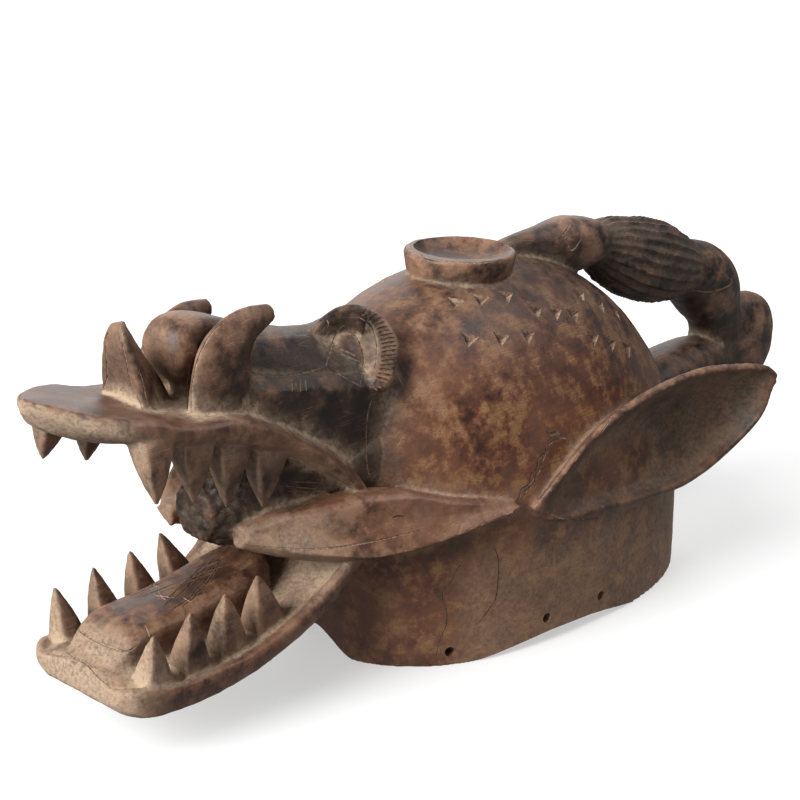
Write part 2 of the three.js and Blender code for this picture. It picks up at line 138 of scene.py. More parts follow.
def through(rows, steps):
    """Smooth rows at even steps along a curve through evenly spaced rows of numbers."""
    rows = np.asarray(rows, float)
    before = 2 * rows[:1] - rows[1:2]
    after = 2 * rows[-1:] - rows[-2:-1]
    padded = np.vstack([before, rows, after])
    spot = np.asarray(steps, float) * (len(rows) - 1)
    i = np.minimum(spot.astype(int), len(rows) - 2)
    f = (spot - i)[:, None]
    a, b, c, d = (padded[i + k] for k in range(4))
    curve = 2 * b + (c - a) * f + (2 * a - 5 * b + 4 * c - d) * f**2
    return 0.5 * (curve + (3 * b - a - 3 * c + d) * f**3)


def round_turn(sides):
    """The angles of evenly spaced points round a circle."""
    return np.arange(sides) / sides * 2 * math.pi


def squared(angles, power):
    """Cosines and sines of angles, with power below 1 for a squarer shape."""
    both = np.cos(angles), np.sin(angles)
    return [np.sign(v) * np.abs(v) ** power for v in both]


def superellipse(sides, exponent):
    """Points of a unit superellipse: exponent 2 is round, larger is squarer."""
    return np.stack(squared(round_turn(sides), 2 / exponent), 1)


def finer_outline(points, parts):
    """A closed outline with each straight side cut into parts."""
    points = np.asarray(points, float)
    after = np.roll(points, -1, 0)
    t = np.arange(parts) / parts
    t = t[None, :, None]
    return (points[:, None] * (1 - t) + after[:, None] * t).reshape(-1, 2)


def skin(rings):
    """Vertices and faces of a closed skin over rings of points, with a fan on each end."""
    rings = np.asarray(rings, float)
    count, sides, _ = rings.shape
    points = np.vstack([rings.reshape(-1, 3), rings[0].mean(0)[None], rings[-1].mean(0)[None]])
    k = np.arange(sides)
    after = (k + 1) % sides
    faces = []
    for r in range(count - 1):
        a, b = r * sides + k, r * sides + after
        faces.append(np.stack([a, b, b + sides], 1))
        faces.append(np.stack([a, b + sides, a + sides], 1))
    first, last = count * sides, count * sides + 1
    faces.append(np.stack([after, k, np.full(sides, first)], 1))
    end = (count - 1) * sides
    faces.append(np.stack([end + k, end + after, np.full(sides, last)], 1))
    faces = np.vstack(faces)
    corners = points[faces]
    volume = np.einsum("ij,ij->i", corners[:, 0], np.cross(corners[:, 1], corners[:, 2])).sum()
    return points, faces if volume > 0 else faces[:, ::-1]


def sweep(rows, outline, up=(0, 0, 1), steps=48):
    """Closed form swept along a path. A row is a place on the path, then half width and height."""
    rows = np.asarray(rows, float)
    t = np.linspace(0, 1, steps + 1)
    centre, (wide, high) = through(rows[:, :3], t), through(rows[:, 3:], t).T
    near = [through(rows[:, :3], np.clip(t + step, 0, 1)) for step in (1e-4, -1e-4)]
    ahead = near[0] - near[1]
    ahead /= np.linalg.norm(ahead, axis=1)[:, None]
    across = np.cross(ahead, np.asarray(up, float))
    across /= np.linalg.norm(across, axis=1)[:, None]
    top = np.cross(across, ahead)
    outline = np.asarray(outline, float)
    return skin(
        centre[:, None]
        + across[:, None] * (outline[None, :, :1] * wide[:, None, None])
        + top[:, None] * (outline[None, :, 1:] * high[:, None, None])
    )


def on_side(side, rows, drop=0.0, back=0.0):
    """Rows of places on the right as they are, or mirrored to the left, lower and further back."""
    if side > 0:
        return rows
    return [(-x, y + back, z - drop, *sizes) for x, y, z, *sizes in rows]


def on_midline(rows, outline, up=(0, 0, 1)):
    """Form swept along the mask's middle. A row is y, z, half width and half height."""
    return sweep([(0, *row) for row in rows], outline, up)


def cross_sections(rows, steps=90, parts=4):
    """Closed form through cross-sections at right angles to Y. A row is y and then the x, z
    pairs of the right half from the crown to the keel. The left half mirrors it."""
    values = through(rows, np.linspace(0, 1, steps + 1))
    rings = []
    for row in values:
        half = row[1:].reshape(-1, 2).copy()
        half[:, 0] = np.maximum(half[:, 0], 0)
        left = half[-2:0:-1] * (-1, 1)
        outline = finer_outline(np.vstack([half, left]), parts)
        rings.append(np.insert(outline, 1, row[0], axis=1))
    return skin(rings)


def helmet_points(angles, heights, inset=0.0):
    """Points of the helmet's surface at angles round it and heights. The inset gives its hollow."""
    angles, z = np.broadcast_arrays(np.asarray(angles, float), np.asarray(heights, float))
    rise = np.clip((z - SHOULDER) / (HELMET_HEIGHT - inset - SHOULDER), 0, 1)
    rear, front = ((1 - rise**steep) ** blunt for steep, blunt in (REAR_DOME, FRONT_DOME))
    u, v = squared(angles, 2 / (RIM_SQUARENESS - DOME_ROUNDING * rise))
    ahead = np.maximum(0, -v)
    shrink = rear + (front - rear) * ahead
    bulge = FRONT_BULGE * ahead * np.sin(math.pi * np.maximum(z, 0) / HELMET_HEIGHT)
    y = v * (HALF_LENGTH + bulge - inset) * shrink - REAR_LEAN * rise**2 * (1 - ahead)
    return np.stack([u * (HALF_WIDTH - inset) * shrink, y, z], -1)


def dome(inset, foot, sides=180, layers=70):
    """The helmet's closed dome. Its layers draw together towards the crown."""
    low = np.linspace(foot, SHOULDER, 16)
    crown = np.sin(np.arange(1, layers + 1) / (layers + 0.35) * math.pi / 2)
    high = SHOULDER + (HELMET_HEIGHT - inset - SHOULDER) * crown
    turns = round_turn(sides)
    return skin([helmet_points(turns, z, inset) for z in np.concatenate([low, high])])


def upper_jaw():
    """The spade-shaped plate whose lips curve down to the corners of the mouth."""
    lips = [
        # y, half width, lip top, lip bottom, crown and keel
        (-396, 3, 239, 232, 240, 231),
        (-386, 18, 236, 225, 238, 219),
        (-371, 34, 231, 218, 234, 211),
        (-355, 46, 227, 213, 229, 206),
        (-338, 52, 223, 208, 225, 203),
        (-318, 55, 216, 203, 220, 200),
        (-298, 56, 212, 199, 216, 199),
        (-278, 57, 210, 193, 213, 196),
        (-258, 58, 202, 185, 210, 190),
        (-240, 59, 192, 178, 204, 183),
        (-222, 60, 180, 167, 196, 172),
        (-204, 62, 166, 154, 186, 159),
        (-188, 64, 151, 142, 176, 147),
        (-176, 62, 142, 130, 166, 135),
    ]
    return cross_sections([
        (y, 0, crown, w * 0.5, crown - 1, w - min(3, w * 0.3), top + 0.5, w, top - 2,
         w, bottom + 4, w - min(5, w * 0.4), bottom, w * 0.5, keel * 0.8 + bottom * 0.2, 0, keel)
        for y, w, top, bottom, crown, keel in lips
    ])


def snout():
    """A lower storey with a sloping ledge and a narrower ridge standing on it."""
    storey = [
        # y, then half width and height of the ledge's inner edge, its outer edge and the foot
        (-264, 20, 221, 27, 217, 31, 206),
        (-248, 33, 226, 43, 219, 44, 190),
        (-234, 35, 223, 44, 215, 45, 182),
        (-210, 37, 219, 45, 211, 46, 168),
        (-188, 39, 214, 46, 206, 46, 152),
        (-166, 41, 209, 47, 201, 46, 142),
        (-130, 42, 204, 47, 196, 46, 138),
    ]
    ridge = [
        # y, top height, shoulder half width and height, foot half width and height
        (-266, 238, 9, 232, 15, 222),
        (-250, 246, 17, 240, 26, 224),
        (-232, 248, 21, 242, 31, 221),
        (-210, 244, 20, 239, 35, 217),
        (-186, 237, 16, 233, 37, 212),
        (-162, 234, 12, 230, 39, 207),
        (-138, 236, 10, 232, 41, 200),
        (-110, 224, 9, 220, 42, 186),
    ]
    return [
        cross_sections([
            (y, 0, zi + 3, xi, zi, xo, zo, (xo + xf) / 2 + 1, (zo + zf) / 2, xf, zf, 0, zf)
            for y, xi, zi, xo, zo, xf, zf in storey
        ]),
        cross_sections([
            (y, 0, z, xs * 0.6, z - (z - zs) * 0.35, xs, zs, xf - 2, zf + 6, xf, zf, 0, zf - 20)
            for y, z, xs, zs, xf, zf in ridge
        ]),
    ]


def tooth(side, outer, front, rear, foot_z, tip_x, tip_y, tip_z):
    """A pyramid on a squarish foot, steep in front and outside."""
    tip = np.array([side * tip_x, tip_y, tip_z], float)
    inner = outer - TOOTH_DEPTH
    middle = np.array([side * (outer + inner) / 2, (front + rear) / 2, foot_z])
    outline = superellipse(40, 7) * (TOOTH_DEPTH / 2, (rear - front) / 2)
    flat = np.insert(outline, 2, 0.0, axis=1)
    rings = []
    for t in 0.97 * np.sin(np.linspace(0, 1, 20) * math.pi / 2):
        lean = middle + (tip - middle) * (t + (t**2 - t) * TOOTH_CURVE)
        rings.append(lean + flat * (1 - t**TOOTH_SWELL) ** TOOTH_BLUNT)
    return skin(rings)


def teeth(side):
    third, out = (0, 0) if side > 0 else (10, 3)  # on the left the third stands further back
    rows = [
        # outer x, front and rear y and height of the foot, then the tip
        (54 + out, -348 - out, -325, 211, 53 + out, -341 - out, 172),
        (54 + out, -319 - out, -293, 206, 50 + out, -310 - out, 163),
        (54, -290 + third, -263 + third, 199, 49, -283 + third, 151),
        (54, -261, -230, 190, 49, -254, 143),
        (51, -351, -329, 45, 50, -345, 89),
        (50, -321, -299, 48, 49, -315, 94),
        (50, -290, -267, 51, 48, -286, 97),
        (50, -260, -235, 58, 49, -260, 102),
    ]
    return [tooth(side, *row) for row in rows]


def lower_jaw():
    """A thick plank, square in front, that rises and widens to the cheeks, and the tongue."""
    plank = [
        # y, half width, outer lip height, floor height, bottom height, floor's crown
        (-367, 43, 54, 53, 41, 5),
        (-360, 51, 56, 53, 35, 9),
        (-348, 56, 55, 51, 31, 11),
        (-325, 58, 51, 48, 30, 8),
        (-300, 59, 52, 49, 31, 2),
        (-275, 60, 54, 52, 35, 0),
        (-250, 61, 61, 59, 42, 0),
        (-225, 63, 72, 70, 53, 0),
        (-203, 66, 88, 84, 68, 0),
        (-184, 70, 108, 104, 88, 0),
        (-166, 70, 122, 118, 104, 0),
    ]
    tongue = [
        # y, half width, top height at the middle and at the edge
        (-361, 20, 61, 56),
        (-351, 25, 70, 64),
        (-341, 27, 77, 71),
        (-326, 28, 81, 75),
        (-302, 27, 83, 76),
        (-279, 27, 86, 78),
        (-252, 27, 91, 82),
        (-225, 22, 97, 86),
    ]
    return [
        cross_sections([
            (y, 0, floor + crown, w - 24, floor + crown * 0.6, w - 10, floor, w - 6, lip,
             w - 1, lip - 1, w, lip - 5, w - 3, bottom + 4, w - 12, bottom, 0, bottom)
            for y, w, lip, floor, bottom, crown in plank
        ]),
        cross_sections([
            (y, 0, top, w * 0.72, top - 2, w - 1, edge + 1, w, edge - 3, w + 2, 44, 0, 42)
            for y, w, top, edge in tongue
        ]),
    ]


def throat():
    """The rough mass behind the tongue that joins both jaws to the helmet."""
    rows = [(-270, 130, 17, 17), (-250, 132, 26, 27), (-215, 136, 40, 38), (-150, 140, 52, 44)]
    return on_midline(rows, superellipse(48, 2.6))


def cheek_leaf(side):
    """A blade with an outer ridge that sweeps back from the mouth to the helmet."""
    short, slim, lift = (16, 12, 0) if side > 0 else (0, 0, 6)  # the right one starts further back
    rows = [
        # y, ridge x and z, top x and z, under x and z, root x
        (-271 + short, 34, 119 + lift, 32, 130 - slim * 0.4, 31, 111 + lift, 22),
        (-260 + short * 0.9, 42, 114 + lift * 0.7, 41, 139 - slim * 0.8, 38, 107 + lift, 22),
        (-242 + short * 0.6, 56, 110, 51, 147 - slim, 51, 103, 28),
        (-215 + short * 0.2, 75, 107, 66, 147 - slim * 0.8, 64, 98, 40),
        (-185, 87, 103, 77, 143 - slim * 0.3, 77, 95, 50),
        (-155, 96, 104, 86, 136, 87, 96, 60),
        (-122, 103, 107, 96, 125, 97, 100, 70),
        (-76, 106, 110, 103, 114, 103, 107, 84),
    ]
    rings = []
    for y, rx, rz, tx, tz, ux, uz, root in through(rows, np.linspace(0, 1, 90)):
        hollow = (rx * 0.5 + tx * 0.5 - 1.2, rz * 0.5 + tz * 0.5)
        outline = finer_outline([
            (rx + 3, rz), hollow, (tx + 1, tz - 3), (tx - 4, tz),
            (root, tz - 2), (root, uz + 2), (ux - 7, uz - 1), (ux - 3, uz + 1),
        ], 4)
        rings.append([(side * x, y, z) for x, z in outline])
    return skin(rings)


def rounded(start, end, outward):
    """Points that round an edge between two places, bulging outward."""
    middle, half = (start + end) / 2, (start - end) / 2
    turn = np.linspace(0, math.pi, 7)[1:-1, None]
    return middle + half * np.cos(turn) + outward * np.linalg.norm(half) * np.sin(turn)


def ear(side):
    """A hollow leaf, open outward, between an upper and a lower edge."""
    rows = [
        # upper edge x, y, z and lower edge x, y, z
        (108, -63, 104, 107, -60, 100),
        (114, -46, 123, 112, -40, 92),
        (120, -10, 152, 116, -2, 88),
        (127, 35, 170, 116, 54, 81),
        (134, 80, 176, 119, 96, 84),
        (142, 118, 172, 127, 125, 100),
        (146, 139, 166, 140, 143, 125),
        (148, 146, 161, 147, 147, 150),
        (149, 149, 157, 148.5, 149.5, 154),
    ]
    inward = np.array([-0.9, 0.35, -0.1])
    inward /= np.linalg.norm(inward)
    s = np.linspace(0, 1, 27)[:, None]
    bow = np.sin(math.pi * s).clip(0) ** 0.7
    edges = np.array(list(through(rows, np.linspace(0, 1, 80))))
    above = np.cross(np.gradient(edges[:, :3], axis=0), inward)
    below = np.cross(inward, np.gradient(edges[:, 3:], axis=0))
    rings = []
    for row, up, down in zip(edges, above, below):
        upper, lower = row[:3], row[3:]
        spread = np.linalg.norm(upper - lower)
        sink = min(max(spread - EAR_FLAT, 0) * EAR_SINK, EAR_DEEPEST)
        lip = min(EAR_WALL, max(spread * EAR_LIP, EAR_THINNEST))
        front = upper + (lower - upper) * (0.05 + 0.9 * s) + inward * sink * bow
        back = upper + (lower - upper) * (0.98 - 0.96 * s)
        back = back + inward * (lip * 0.6 + (sink + lip * 0.8) * bow)
        low = rounded(front[-1], back[0], down / np.linalg.norm(down))
        top = rounded(back[-1], front[0], up / np.linalg.norm(up))
        ring = np.vstack([front, low, back, top])
        rings.append(ring * (side, 1, 1))
    return skin(rings)


def turned_on_cup(rows, middle, sides=96):
    """Form turned about the cup's axis through radius and height pairs."""
    tip = np.array(Matrix.Rotation(CUP_TIP, 3, "X"))
    circle = superellipse(sides, 2)
    rings = []
    for r, z in rows:
        ring = np.insert(circle * r, 2, float(z), axis=1)
        rings.append(ring @ tip.T + middle)
    return skin(rings)


def cup_wall():
    """The cup's short round wall and the mound under it."""
    profile = [(CUP_RADIUS + wider, z) for wider, z in (
        (22, -39), (12, -29), (3, -21), (-4, -17), (-2, -14), (-1, -8), (0.4, -2), (-0.8, 0))]
    return turned_on_cup(profile, CUP_MIDDLE)


def cup_bowl():
    """The shallow bowl in the cup, from its floor to above its rim."""
    rows = [
        (CUP_RADIUS * 0.3, -CUP_DEPTH), (CUP_RADIUS * 0.62, -CUP_DEPTH * 0.72),
        (CUP_RADIUS * 0.8, -CUP_DEPTH * 0.3), (CUP_RADIUS - 4, 1.5),
    ]
    profile = through(rows, np.linspace(0, 1, 14))
    return turned_on_cup(profile, BOWL_MIDDLE)


def fluted(sides, flutes, depth):
    """A round outline with hollow flutes that meet in sharp ridges."""
    size = 1 - depth * np.abs(np.sin(round_turn(sides) * flutes / 2)) ** 0.8
    return superellipse(sides, 2) * size[:, None]


def bird():
    """The bird on the rear, from its beak at the cup to its tail. Rows are as in on_midline."""
    head = [
        (8, 248, 6, 6), (34, 247, 9, 10), (60, 242, 15, 17),
        (84, 239, 20, 21), (104, 238, 21, 18), (120, 234, 16, 15),
    ]
    wings = [
        (110, 232, 17, 14), (130, 227, 22, 25), (157, 216, 28, 31),
        (183, 207, 31, 33), (208, 199, 28, 29), (232, 192, 20, 20),
    ]
    rump = [
        (212, 192, 20, 20), (230, 189, 25, 24), (248, 180, 28, 26),
        (261, 165, 27, 25), (271, 146, 22, 20), (278, 118, 20, 20),
    ]
    knob = [
        (262, 116, 19, 34), (285, 116, 21, 38), (305, 116, 21, 40),
        (322, 116, 19, 36), (334, 115, 14, 25), (340, 115, 4, 8),
    ]
    strut = [
        (120, 96, 30, 18), (160, 101, 30, 19), (200, 108, 27, 20),
        (240, 111, 24, 20), (275, 107, 21, 18), (300, 98, 18, 14),
    ]
    plain = superellipse(56, 2.3)
    return [
        on_midline(head, plain),
        on_midline(wings, fluted(FLUTES * 12, FLUTES, 0.11)),
        on_midline(rump, plain, up=(1, 0, 0)),
        on_midline(knob, plain),
        on_midline(strut, plain),
    ]


def nose():
    """The upright fin and the hooded nose behind it. Rows are as in on_midline."""
    fin = [
        (-305, 206, 24, 18), (-310, 226, 22, 14), (-317, 246, 17, 9),
        (-321, 260, 11, 6), (-322, 270, 5, 3),
    ]
    hood = [
        (-272, 196, 9, 9), (-273, 212, 8.5, 8), (-275, 226, 9, 10),
        (-281, 236, 11, 17), (-284, 246, 12.5, 20), (-279, 254, 12, 18),
        (-265, 253, 11, 14), (-247, 246, 11, 11), (-228, 239, 11, 9),
    ]
    wedge = [(0.9, 0.95), (1, 0.6), (0.25, -1), (-0.25, -1), (-1, 0.6), (-0.9, 0.95)]
    return [
        on_midline(fin, finer_outline(wedge, 8), up=(0, -1, 0)),
        on_midline(hood, superellipse(48, 2.5), up=(1, 0, 0)),
    ]


def horn(side):
    """An upright horn whose tip bends back. The one on the left is lower and further back."""
    drop, back = (HORN_DROP, HORN_BACK) if side < 0 else (0, 0)
    x = side * 33
    rows = [
        # x, y and z, then half width and height
        (x, -274 + back, 204, 9, 25),
        (x, -272 + back, 227 - drop * 0.5, 10, 24),
        (x, -267 + back, 246 - drop, 10, 21),
        (x, -252 + back * 0.6, 259 - drop, 8, 13),
        (x, -230 + back * 0.5, 264 - drop, 4, 6),
    ]
    return sweep(rows, superellipse(40, 1.7), up=(0, -1, 0.3))


def roll(side):
    """The thick fold of the brow, from the top of the snout over the eye, sunk on the left."""
    rows = [
        (11, -177, 229, 2, 3), (12, -167, 233, 4, 8), (14, -158, 235.5, 5.5, 10.5),
        (16.5, -151, 236.5, 6, 11.5), (20, -145.5, 236, 6.5, 12), (25, -141, 234, 6, 10),
    ]
    rows = on_side(side, rows, EYE_DROP + ROLL_SINK, EYE_BACK)
    return sweep(rows, superellipse(40, 2.2), up=(side * 0.15, -0.1, 1))


def eye(side):
    """A bulging almond on the flank of the snout, in its socket, with a raised brow behind it."""
    lens = [
        (13, -151, 232, 1, 2), (17, -153, 227, 6.4, 4), (21, -156, 222, 10.5, 6),
        (25, -160, 216, 13.2, 6.5), (29, -163, 211, 12.4, 6), (35, -164, 206, 8, 5),
        (41, -162, 201, 2, 3),
    ]
    socket = [
        (13, -144, 234, 3, 3), (19, -142, 229.5, 7, 4), (26, -141, 224, 9, 5),
        (32, -142, 217.5, 10, 5), (37, -145, 211, 10, 5), (42, -150, 204, 8, 4),
        (45, -157, 199, 3, 3),
    ]
    brow = [
        (9, -138, 241, 3, 4), (16, -134, 237.5, 4.5, 5), (25, -131, 231, 7, 5.5),
        (33, -131.5, 223.5, 8, 6), (39.5, -136, 215.5, 8.4, 6), (44, -143, 208, 8, 6),
        (47.5, -151, 201, 6.5, 5), (48.5, -157, 197.5, 3, 4),
    ]
    up = (side * 0.62, -0.35, 0.7)
    return [
        sweep(on_side(side, rows, EYE_DROP, EYE_BACK), superellipse(40, squareness), up)
        for rows, squareness in ((lens, 2), (socket, 2.4), (brow, 3.2))
    ]


def arch(ends, lift, power, carried, axis):
    """Cutter for a low arch in the rim between two ends, carried from place to place on an axis."""
    t = np.linspace(0, 1, 25)
    outline = np.stack([ends[0] + (ends[1] - ends[0]) * t, lift * np.sin(math.pi * t) ** power], 1)
    outline = np.vstack([outline, [(ends[1], BELOW_RIM), (ends[0], BELOW_RIM)]])
    return skin([np.insert(outline, axis, place, axis=1) for place in carried])


def outer_forms():
    """Every form of the block, as closed shapes that overlap, under the name of its region."""
    both = (1, -1)
    return {
        "helmet": [dome(0, 0)],
        "cup": [cup_wall()],
        "plate": [upper_jaw()],
        "snout": [*snout(), *(roll(side) for side in both)],
        "nose": [*nose(), *(horn(side) for side in both)],
        "eye": [form for side in both for form in eye(side)],
        "teeth": [form for side in both for form in teeth(side)],
        "jaw": lower_jaw()[:1],
        "tongue": lower_jaw()[1:],
        "throat": [throat()],
        "leaf": [cheek_leaf(side) for side in both],
        "ear": [ear(side) for side in both],
        "bird": bird(),
    }


def in_scene(name, data):
    """A new object in the scene with this data."""
    made = bpy.data.objects.new(name, data)
    bpy.context.scene.collection.objects.link(made)
    return made


def mesh_object(name, points, faces, material=None, edges=()):
    """A mesh object at the origin, from millimetre points measured from the helmet's middle."""
    mesh = bpy.data.meshes.new(name)
    placed = (np.asarray(points, float) + (0, HELMET_MIDDLE_Y, 0)) * MM
    mesh.from_pydata(placed.tolist(), np.asarray(edges).tolist(), np.asarray(faces).tolist())
    if material:
        mesh.materials.append(material)
    return in_scene(name, mesh)


def with_settings(made, settings):
    for name, value in settings.items():
        setattr(made, name, value)
    return made


def modify(block, kind, **settings):
    with_settings(block.modifiers.new(kind.lower(), kind), settings)


def store(mesh, name, kind, values):
    """Keeps values as an attribute of the mesh's points."""
    key = "vector" if kind == "FLOAT_VECTOR" else "value"
    mesh.attributes.new(name, kind, "POINT").data.foreach_set(key, values)


def merged(forms):
    """The points and faces of several closed forms as one list of each."""
    starts = np.cumsum([0] + [len(points) for points, _ in forms])
    faces = [faces + start for (_, faces), start in zip(forms, starts)]
    return np.vstack([points for points, _ in forms]), np.vstack(faces)


def applied(made):
    """Turns the object's modifiers into its mesh."""
    bpy.context.view_layer.update()
    graph = bpy.context.evaluated_depsgraph_get()
    mesh = bpy.data.meshes.new_from_object(made.evaluated_get(graph))
    old = made.data
    made.modifiers.clear()
    made.data = mesh
    bpy.data.meshes.remove(old)
    return made


def cut_away(block, cutters):
    """Cuts closed cutters out of the block. The new walls keep their cutter's material."""
    together = bpy.data.collections.new("cutters")
    for cutter in cutters:
        together.objects.link(cutter)
    modify(block, "BOOLEAN", operation="DIFFERENCE", solver="MANIFOLD", material_mode="TRANSFER",
           operand_type="COLLECTION", collection=together)
    applied(block)
    for cutter in cutters:
        bpy.data.objects.remove(cutter)
    bpy.data.collections.remove(together)


def values_of(items, name, width, kind=float):
    """A property of every item of a mesh, one row for each."""
    values = np.empty(len(items) * width, kind)
    items.foreach_get(name, values)
    return values.reshape(-1, width)


def measured(co):
    """Object coordinates as millimetres from the helmet's middle."""
    return co / MM - (0, HELMET_MIDDLE_Y, 0)


def ramp(values, low, high):
    """0 below low and 1 above high, with a soft step between."""
    t = np.clip((values - low) / (high - low), 0, 1)
    return t * t * (3 - 2 * t)


def fall(values, low, high):
    """1 below low and 0 above high, with a soft step between."""
    return 1 - ramp(values, low, high)


def fused_block(voxel, keep):
    """The outer forms fused on a fine grid, softened and worked over, in keep of its triangles."""
    forms = [form for group in outer_forms().values() for form in group]
    block = mesh_object("carved_mask_wood", *merged(forms))
    modify(block, "REMESH", mode="VOXEL", voxel_size=voxel)
    modify(block, "SMOOTH", factor=0.5, iterations=2)
    work_over(applied(block))
    modify(block, "DECIMATE", ratio=keep)
    applied(block)
    return block


def work_over(block):
    """Leaves the gouge's shallow facets, the hand's unevenness and the throat's crust."""
    mesh = block.data
    co, out = values_of(mesh.vertices, "co", 3), values_of(mesh.vertex_normals, "vector", 3)
    places = measured(co)
    x, y, z = np.abs(places[:, 0]), places[:, 1], places[:, 2]
    evenness = 1 - 0.8 * ramp(x, *THIN_EARS)
    crust = ramp(y, -285, -262) * fall(y, -225, -205)
    crust = crust * ramp(z, 88, 100) * fall(z, 162, 176) * fall(x, 24, 30)
    depth = np.empty(len(co))
    for i, p in enumerate(places):
        place = Vector(p)
        wave = noise.noise(place / WAVE_LENGTH) * WAVE_DEPTH
        wave += noise.noise(place / RIPPLE_LENGTH + RIPPLE_OFFSET) * RIPPLE_DEPTH
        facet = noise.voronoi(place / FACET_SIZE)[0][0] - FACET_MIDDLE
        depth[i] = (wave + FACET_DEPTH * facet) * evenness[i]
        if crust[i] > 0.02:
            lumps = noise.fractal(place / CRUST_SIZE, 0.6, 2, 3)
            depth[i] += crust[i] * (lumps * CRUST_DEPTH + CRUST_RISE)
    co += out * (depth * MM)[:, None]
    co[:, 2] = np.maximum(co[:, 2], 0)
    mesh.vertices.foreach_set("co", co.ravel())
    mesh.update()


def hollow_cutters():
    """The hollow inside the helmet, the cup's bowl and the low arches in the rim."""
    points, faces = dome(WALL, -5)
    uneven = [noise.noise(Vector(p) / HOLLOW_WAVE_LENGTH) for p in points]
    return [
        (points + np.outer(uneven, HOLLOW_WAVE_DEPTH), faces),
        cup_bowl(),
        arch(SIDE_ARCH, RIM_LIFT, 1, ACROSS_BOTH_SIDES, axis=0),
        arch(FRONT_ARCH, FRONT_LIFT, 1.8, THROUGH_FRONT, axis=1),
    ]


def photo_camera_matrix():
    azimuth, elevation = math.radians(CAMERA_AZIMUTH), math.radians(CAMERA_ELEVATION)
    back = Vector((
        math.sin(azimuth) * math.cos(elevation),
        -math.cos(azimuth) * math.cos(elevation),
        math.sin(elevation),
    ))
    right = Vector((math.cos(azimuth), math.sin(azimuth), 0))
    turn = Matrix((right, back.cross(right), back)).transposed()
    aim = (Vector(CAMERA_AIM) + Vector((0, HELMET_MIDDLE_Y, 0))) * MM
    return Matrix.Translation(aim + back * CAMERA_DISTANCE * MM) @ turn.to_4x4()


class Surface:
    """The block's surface, on which the photograph's lines and marks are placed."""

    def __init__(self, block):
        graph = bpy.context.evaluated_depsgraph_get()
        self.tree = BVHTree.FromObject(block, graph)
        self.camera = photo_camera_matrix()

    def seen(self, pixel):
        """Place and normal of the wood behind a pixel of the photograph."""
        half = FRAME_SIDE / 2
        ray = Vector((pixel[0] - half, half - pixel[1], -FOCAL_PIXELS))
        place, out, _, _ = self.tree.ray_cast(self.camera.translation, self.camera.to_3x3() @ ray)
        if place is None:
            raise RuntimeError(f"no wood behind pixel {pixel}")
        return place, out

    def mirrored(self, place, drop=0.0, back=0.0):
        """The place on the other side of the mask, lower and further back there, and its normal."""
        across = Vector((-place.x, place.y + back * MM, place.z - drop * MM))
        return self.tree.find_nearest(across)[:2]

    def line(self, pixels, points=48, lowered=(0.0, 0.0)):
        """Both sides' places along a smooth line through pixels of the photograph."""
        seen = [self.seen(pixel)[0] for pixel in through(pixels, np.linspace(0, 1, points))]
        return [seen, [self.mirrored(place, *lowered)[0] for place in seen]]


def fill(tree, node, inputs):
    """Gives inputs of a node their values or links."""
    for key, value in inputs.items():
        if isinstance(value, bpy.types.NodeSocket):
            tree.links.new(value, node.inputs[key])
        else:
            node.inputs[key].default_value = value
    return node


def add(tree, kind, settings=None, inputs=None, output=0):
    """What a new node with these settings and inputs gives."""
    made = with_settings(tree.nodes.new(kind), settings or {})
    return fill(tree, made, inputs or {}).outputs[output]


def tree_with(name, inputs):
    """A new geometry tree with a material and other named inputs, and what those inputs give."""
    tree = bpy.data.node_groups.new(name, "GeometryNodeTree")
    sockets = {"Geometry": "Geometry", "Sides": "Int", "Material": "Material", **inputs}
    for label, kind in sockets.items():
        tree.interface.new_socket(label, in_out="INPUT", socket_type="NodeSocket" + kind)
    tree.interface.new_socket("Geometry", in_out="OUTPUT", socket_type="NodeSocketGeometry")
    return tree, tree.nodes.new("NodeGroupInput").outputs


def finish_tree(tree, geometry, given):
    """Ends a geometry tree in real mesh with its material set."""
    real = add(tree, "GeometryNodeRealizeInstances", inputs={"Geometry": geometry})
    coated = add(tree, "GeometryNodeSetMaterial", inputs={
        "Geometry": real, "Material": given["Material"]})
    fill(tree, tree.nodes.new("NodeGroupOutput"), {"Geometry": coated})
    return tree


def groove_tree():
    """Tubes of the gouge's round edge along drawn lines, as deep as each point's reach."""
    tree, given = tree_with("Groove cutters", {})
    reach = add(tree, "GeometryNodeInputNamedAttribute", {"data_type": "FLOAT"}, {"Name": "reach"})
    tube = add(tree, "GeometryNodeCurveToMesh", inputs={
        "Curve": add(tree, "GeometryNodeMeshToCurve", inputs={"Mesh": given["Geometry"]}),
        "Profile Curve": add(tree, "GeometryNodeCurvePrimitiveCircle", inputs={
            "Resolution": given["Sides"], "Radius": 1.0}),
        "Scale": reach,
        "Fill Caps": True,
    })
    return finish_tree(tree, tube, given)


def point_cut_tree():
    """One tapered cutter on each point, turned as the point says."""
    tree, given = tree_with("Cuts on points", {
        "Outer radius": "Float", "Inner radius": "Float", "Depth": "Float"})
    turned = add(tree, "GeometryNodeInputNamedAttribute", {
        "data_type": "FLOAT_VECTOR"}, {"Name": "turned"})
    cuts = add(tree, "GeometryNodeInstanceOnPoints", inputs={
        "Points": given["Geometry"],
        "Instance": add(tree, "GeometryNodeMeshCone", inputs={
            "Vertices": given["Sides"], "Radius Bottom": given["Outer radius"],
            "Radius Top": given["Inner radius"], "Depth": given["Depth"],
        }),
        "Rotation": add(tree, "FunctionNodeEulerToRotation", inputs={"Euler": turned}),
    })
    return finish_tree(tree, cuts, given)


def grown(made, tree, values):
    """Runs a geometry tree on the object with its inputs, given by their names, and applies it."""
    grow = made.modifiers.new("grow", "NODES")
    grow.node_group = tree
    for item in tree.interface.items_tree:
        if item.in_out == "INPUT" and item.name in values:
            grow[item.identifier] = values[item.name]
    return applied(made)


